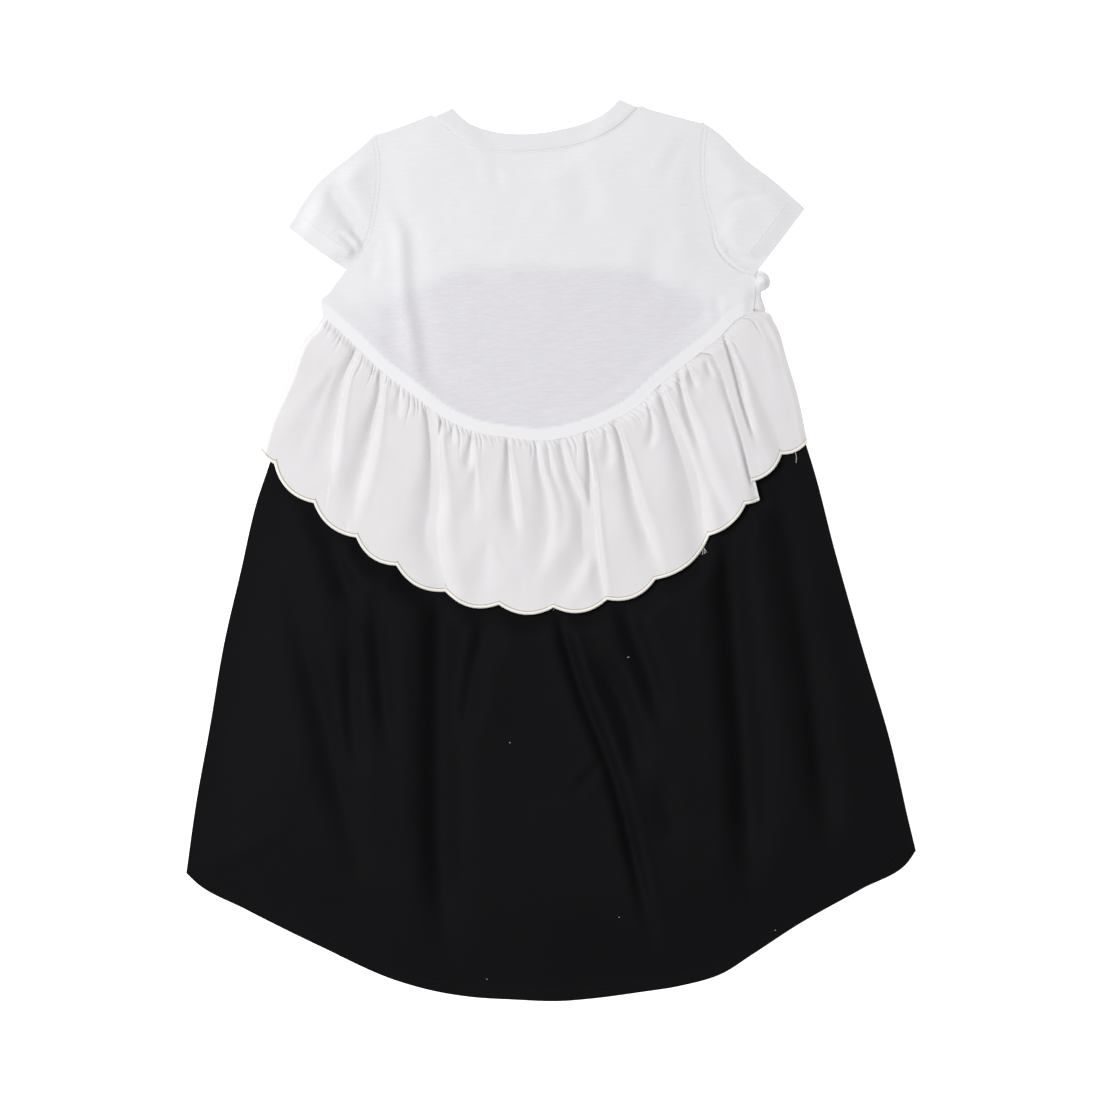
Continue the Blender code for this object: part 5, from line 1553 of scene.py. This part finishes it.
left_cuff = smooth_line(LEFT_CUFF, 60)
right_cuff = smooth_line(RIGHT_CUFF, 60)
neck = smooth_line(BACK_NECK_OUTER, NECK_POINTS)
hem = smooth_line(BACK_HEM, 260)
white = ("jersey", white_thread)
black = ("black_cotton", black_thread)
SEAMS = (
    Seam("stitches_neck", bodice_back, neck, 1.6, ENDS_LEFT_OUT, *white),
    Seam("stitches_armhole_left_1", sleeve_left, left_armhole, 0.9, ENDS_LEFT_OUT, *white),
    Seam("stitches_armhole_left_2", sleeve_left, left_armhole, 4.2, ENDS_LEFT_OUT, *white),
    Seam("stitches_armhole_right_1", sleeve_right, right_armhole, -0.9, ENDS_LEFT_OUT, *white),
    Seam("stitches_armhole_right_2", sleeve_right, right_armhole, -4.2, ENDS_LEFT_OUT, *white),
    Seam("stitches_cuff_left", sleeve_left, left_cuff, -HEM_WIDE, 0.06, *white),
    Seam("stitches_cuff_right", sleeve_right, right_cuff, HEM_WIDE, 0.06, *white),
    Seam("stitches_hem", skirt_back, hem, -8.0, 0.01, *black),
)
sewn = []
for seam in SEAMS:
    shares = np.linspace(seam.trim, 1 - seam.trim, len(seam.line))
    line = spaced(moved_aside(seam.line, seam.aside), shares)
    sewn.append(stitched(seam.name, seam.carrier, line, seam.thread))

# %% [markdown]
# A few loose ends make it a real, worn-in thing: thread ends that hang from the scallops, a small
# bunch of them at one cusp, and white lint on the black skirt. Each is a thin tube laid just over
# the cloth at the place where the photograph shows one.

# %% Loose threads and lint
THREAD_THICK = 0.3
LINT_THICK = 0.4
LOOSE_STANDS = 0.5  # mm over the cloth
LOOSE_POINTS = 9

LOOSE_ENDS = (
    ((194.6, 83.0), (195.2, 79.0), (196.2, 74.5), (195.8, 70.0)),
    ((2.2, -44.0), (2.6, -46.4), (1.8, -48.0)),
    ((120.6, 5.5), (122.2, 2.0), (122.8, -2.6)),
    ((120.0, 4.0), (121.4, -0.6), (121.0, -3.4)),
    ((121.0, 3.0), (123.4, 0.6), (124.0, -1.8)),
)
LINT = (
    ((61.0, -85.6), (61.8, -84.8), (62.2, -85.6)),
    ((-33.2, -153.0), (-32.4, -153.8)),
    ((-51.6, -342.6), (-50.8, -343.0)),
    ((54.0, -293.0), (54.8, -292.4)),
    ((179.0, -304.0), (179.8, -303.4)),
)
skirt_surface = surface_of(skirt_back)
ruffle_surface = surface_of(ruffle_back)


def loose(name, tables, thick, material):
    """Thin tubes that lie over the ruffle and the skirt."""
    paths = []
    for rows in tables:
        flat = smooth_line(rows, LOOSE_POINTS)
        on_skirt = np.nan_to_num(heights_on(skirt_surface, flat))
        high = np.fmax(on_skirt, heights_on(ruffle_surface, flat)) + LOOSE_STANDS
        paths.append(np.column_stack([flat, high]))
    return tubes(name, paths, np.full(LOOSE_POINTS, thick / 2), material)


loose_ends = loose("loose_thread_ends", LOOSE_ENDS, THREAD_THICK, satin)
lint = loose("lint_on_skirt", LINT, LINT_THICK, white_thread)
print(len(LOOSE_ENDS), "thread ends and", len(LINT), "specks")

# %% [markdown]
# A table lists which solid each piece stands for, what it is made of, and the cut of each sheet.
# A laid panel's cut is what lies there, and a sleeve or the neckband is measured all round. The
# ruffle's cut is longer than its seam, because it was gathered. Each piece is hung under the root,
# and the solid it stands for is hidden.

Sheet = namedtuple("Sheet", "piece node finish flat area held rests_on with_pieces")


def rows_on(carrier):
    """The rows of stitches that lie on a piece."""
    return [row for row, seam in zip(sewn, SEAMS) if seam.carrier == carrier]


SHEETS = (
    Sheet(bodice_front, "bodice_front", "jersey", (0.36, 0.17), 0.0285, "laid", "floor", []),
    Sheet(bodice_back, "bodice_back", "jersey", (0.36, 0.275), 0.063, "laid", bodice_front,
          rows_on(bodice_back)),
    Sheet(sleeve_left, "sleeve_left", "jersey", (0.1, 0.13), 0.0095, "laid", "floor",
          rows_on(sleeve_left)),
    Sheet(sleeve_right, "sleeve_right", "jersey", (0.1, 0.14), 0.0112, "laid", "floor",
          rows_on(sleeve_right)),
    Sheet(neckband, "neckband", "rib", (0.42, 0.0155), 0.0056, "laid", bodice_front, []),
    Sheet(ruffle_front, "ruffle_front", "poplin", (0.44, 0.14), 0.051, "laid", "floor", [edge_front]),
    Sheet(ruffle_back, "ruffle_back", "poplin", (0.66, 0.13), 0.068, "gathered", skirt_back,
          [edge_left, edge_right, loose_ends]),
    Sheet(skirt_front, "skirt_front", "black_cotton", (0.59, 0.52), 0.232, "laid", ruffle_front, []),
    Sheet(skirt_back, "skirt_back", "black_cotton", (0.59, 0.56), 0.232, "laid", skirt_front,
          [*rows_on(skirt_back), lint]),
)


def stands_for(piece, node):
    """Hangs a piece under the root and hides the solid it stands for."""
    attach(piece, "root")
    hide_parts(node)


for edge, node in ((edge_left, "ruffle_back"), (edge_right, "ruffle_back"), (edge_front, "ruffle_front")):
    stands_for(edge, node)
for row, seam in zip(sewn, SEAMS):
    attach(row, "root")
for extra_thread in (loose_ends, lint):
    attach(extra_thread, "root")
for sheet in SHEETS:
    stands_for(sheet.piece, sheet.node)
print(len(SHEETS), "sheets and", len(SEAMS), "rows of stitches declared")
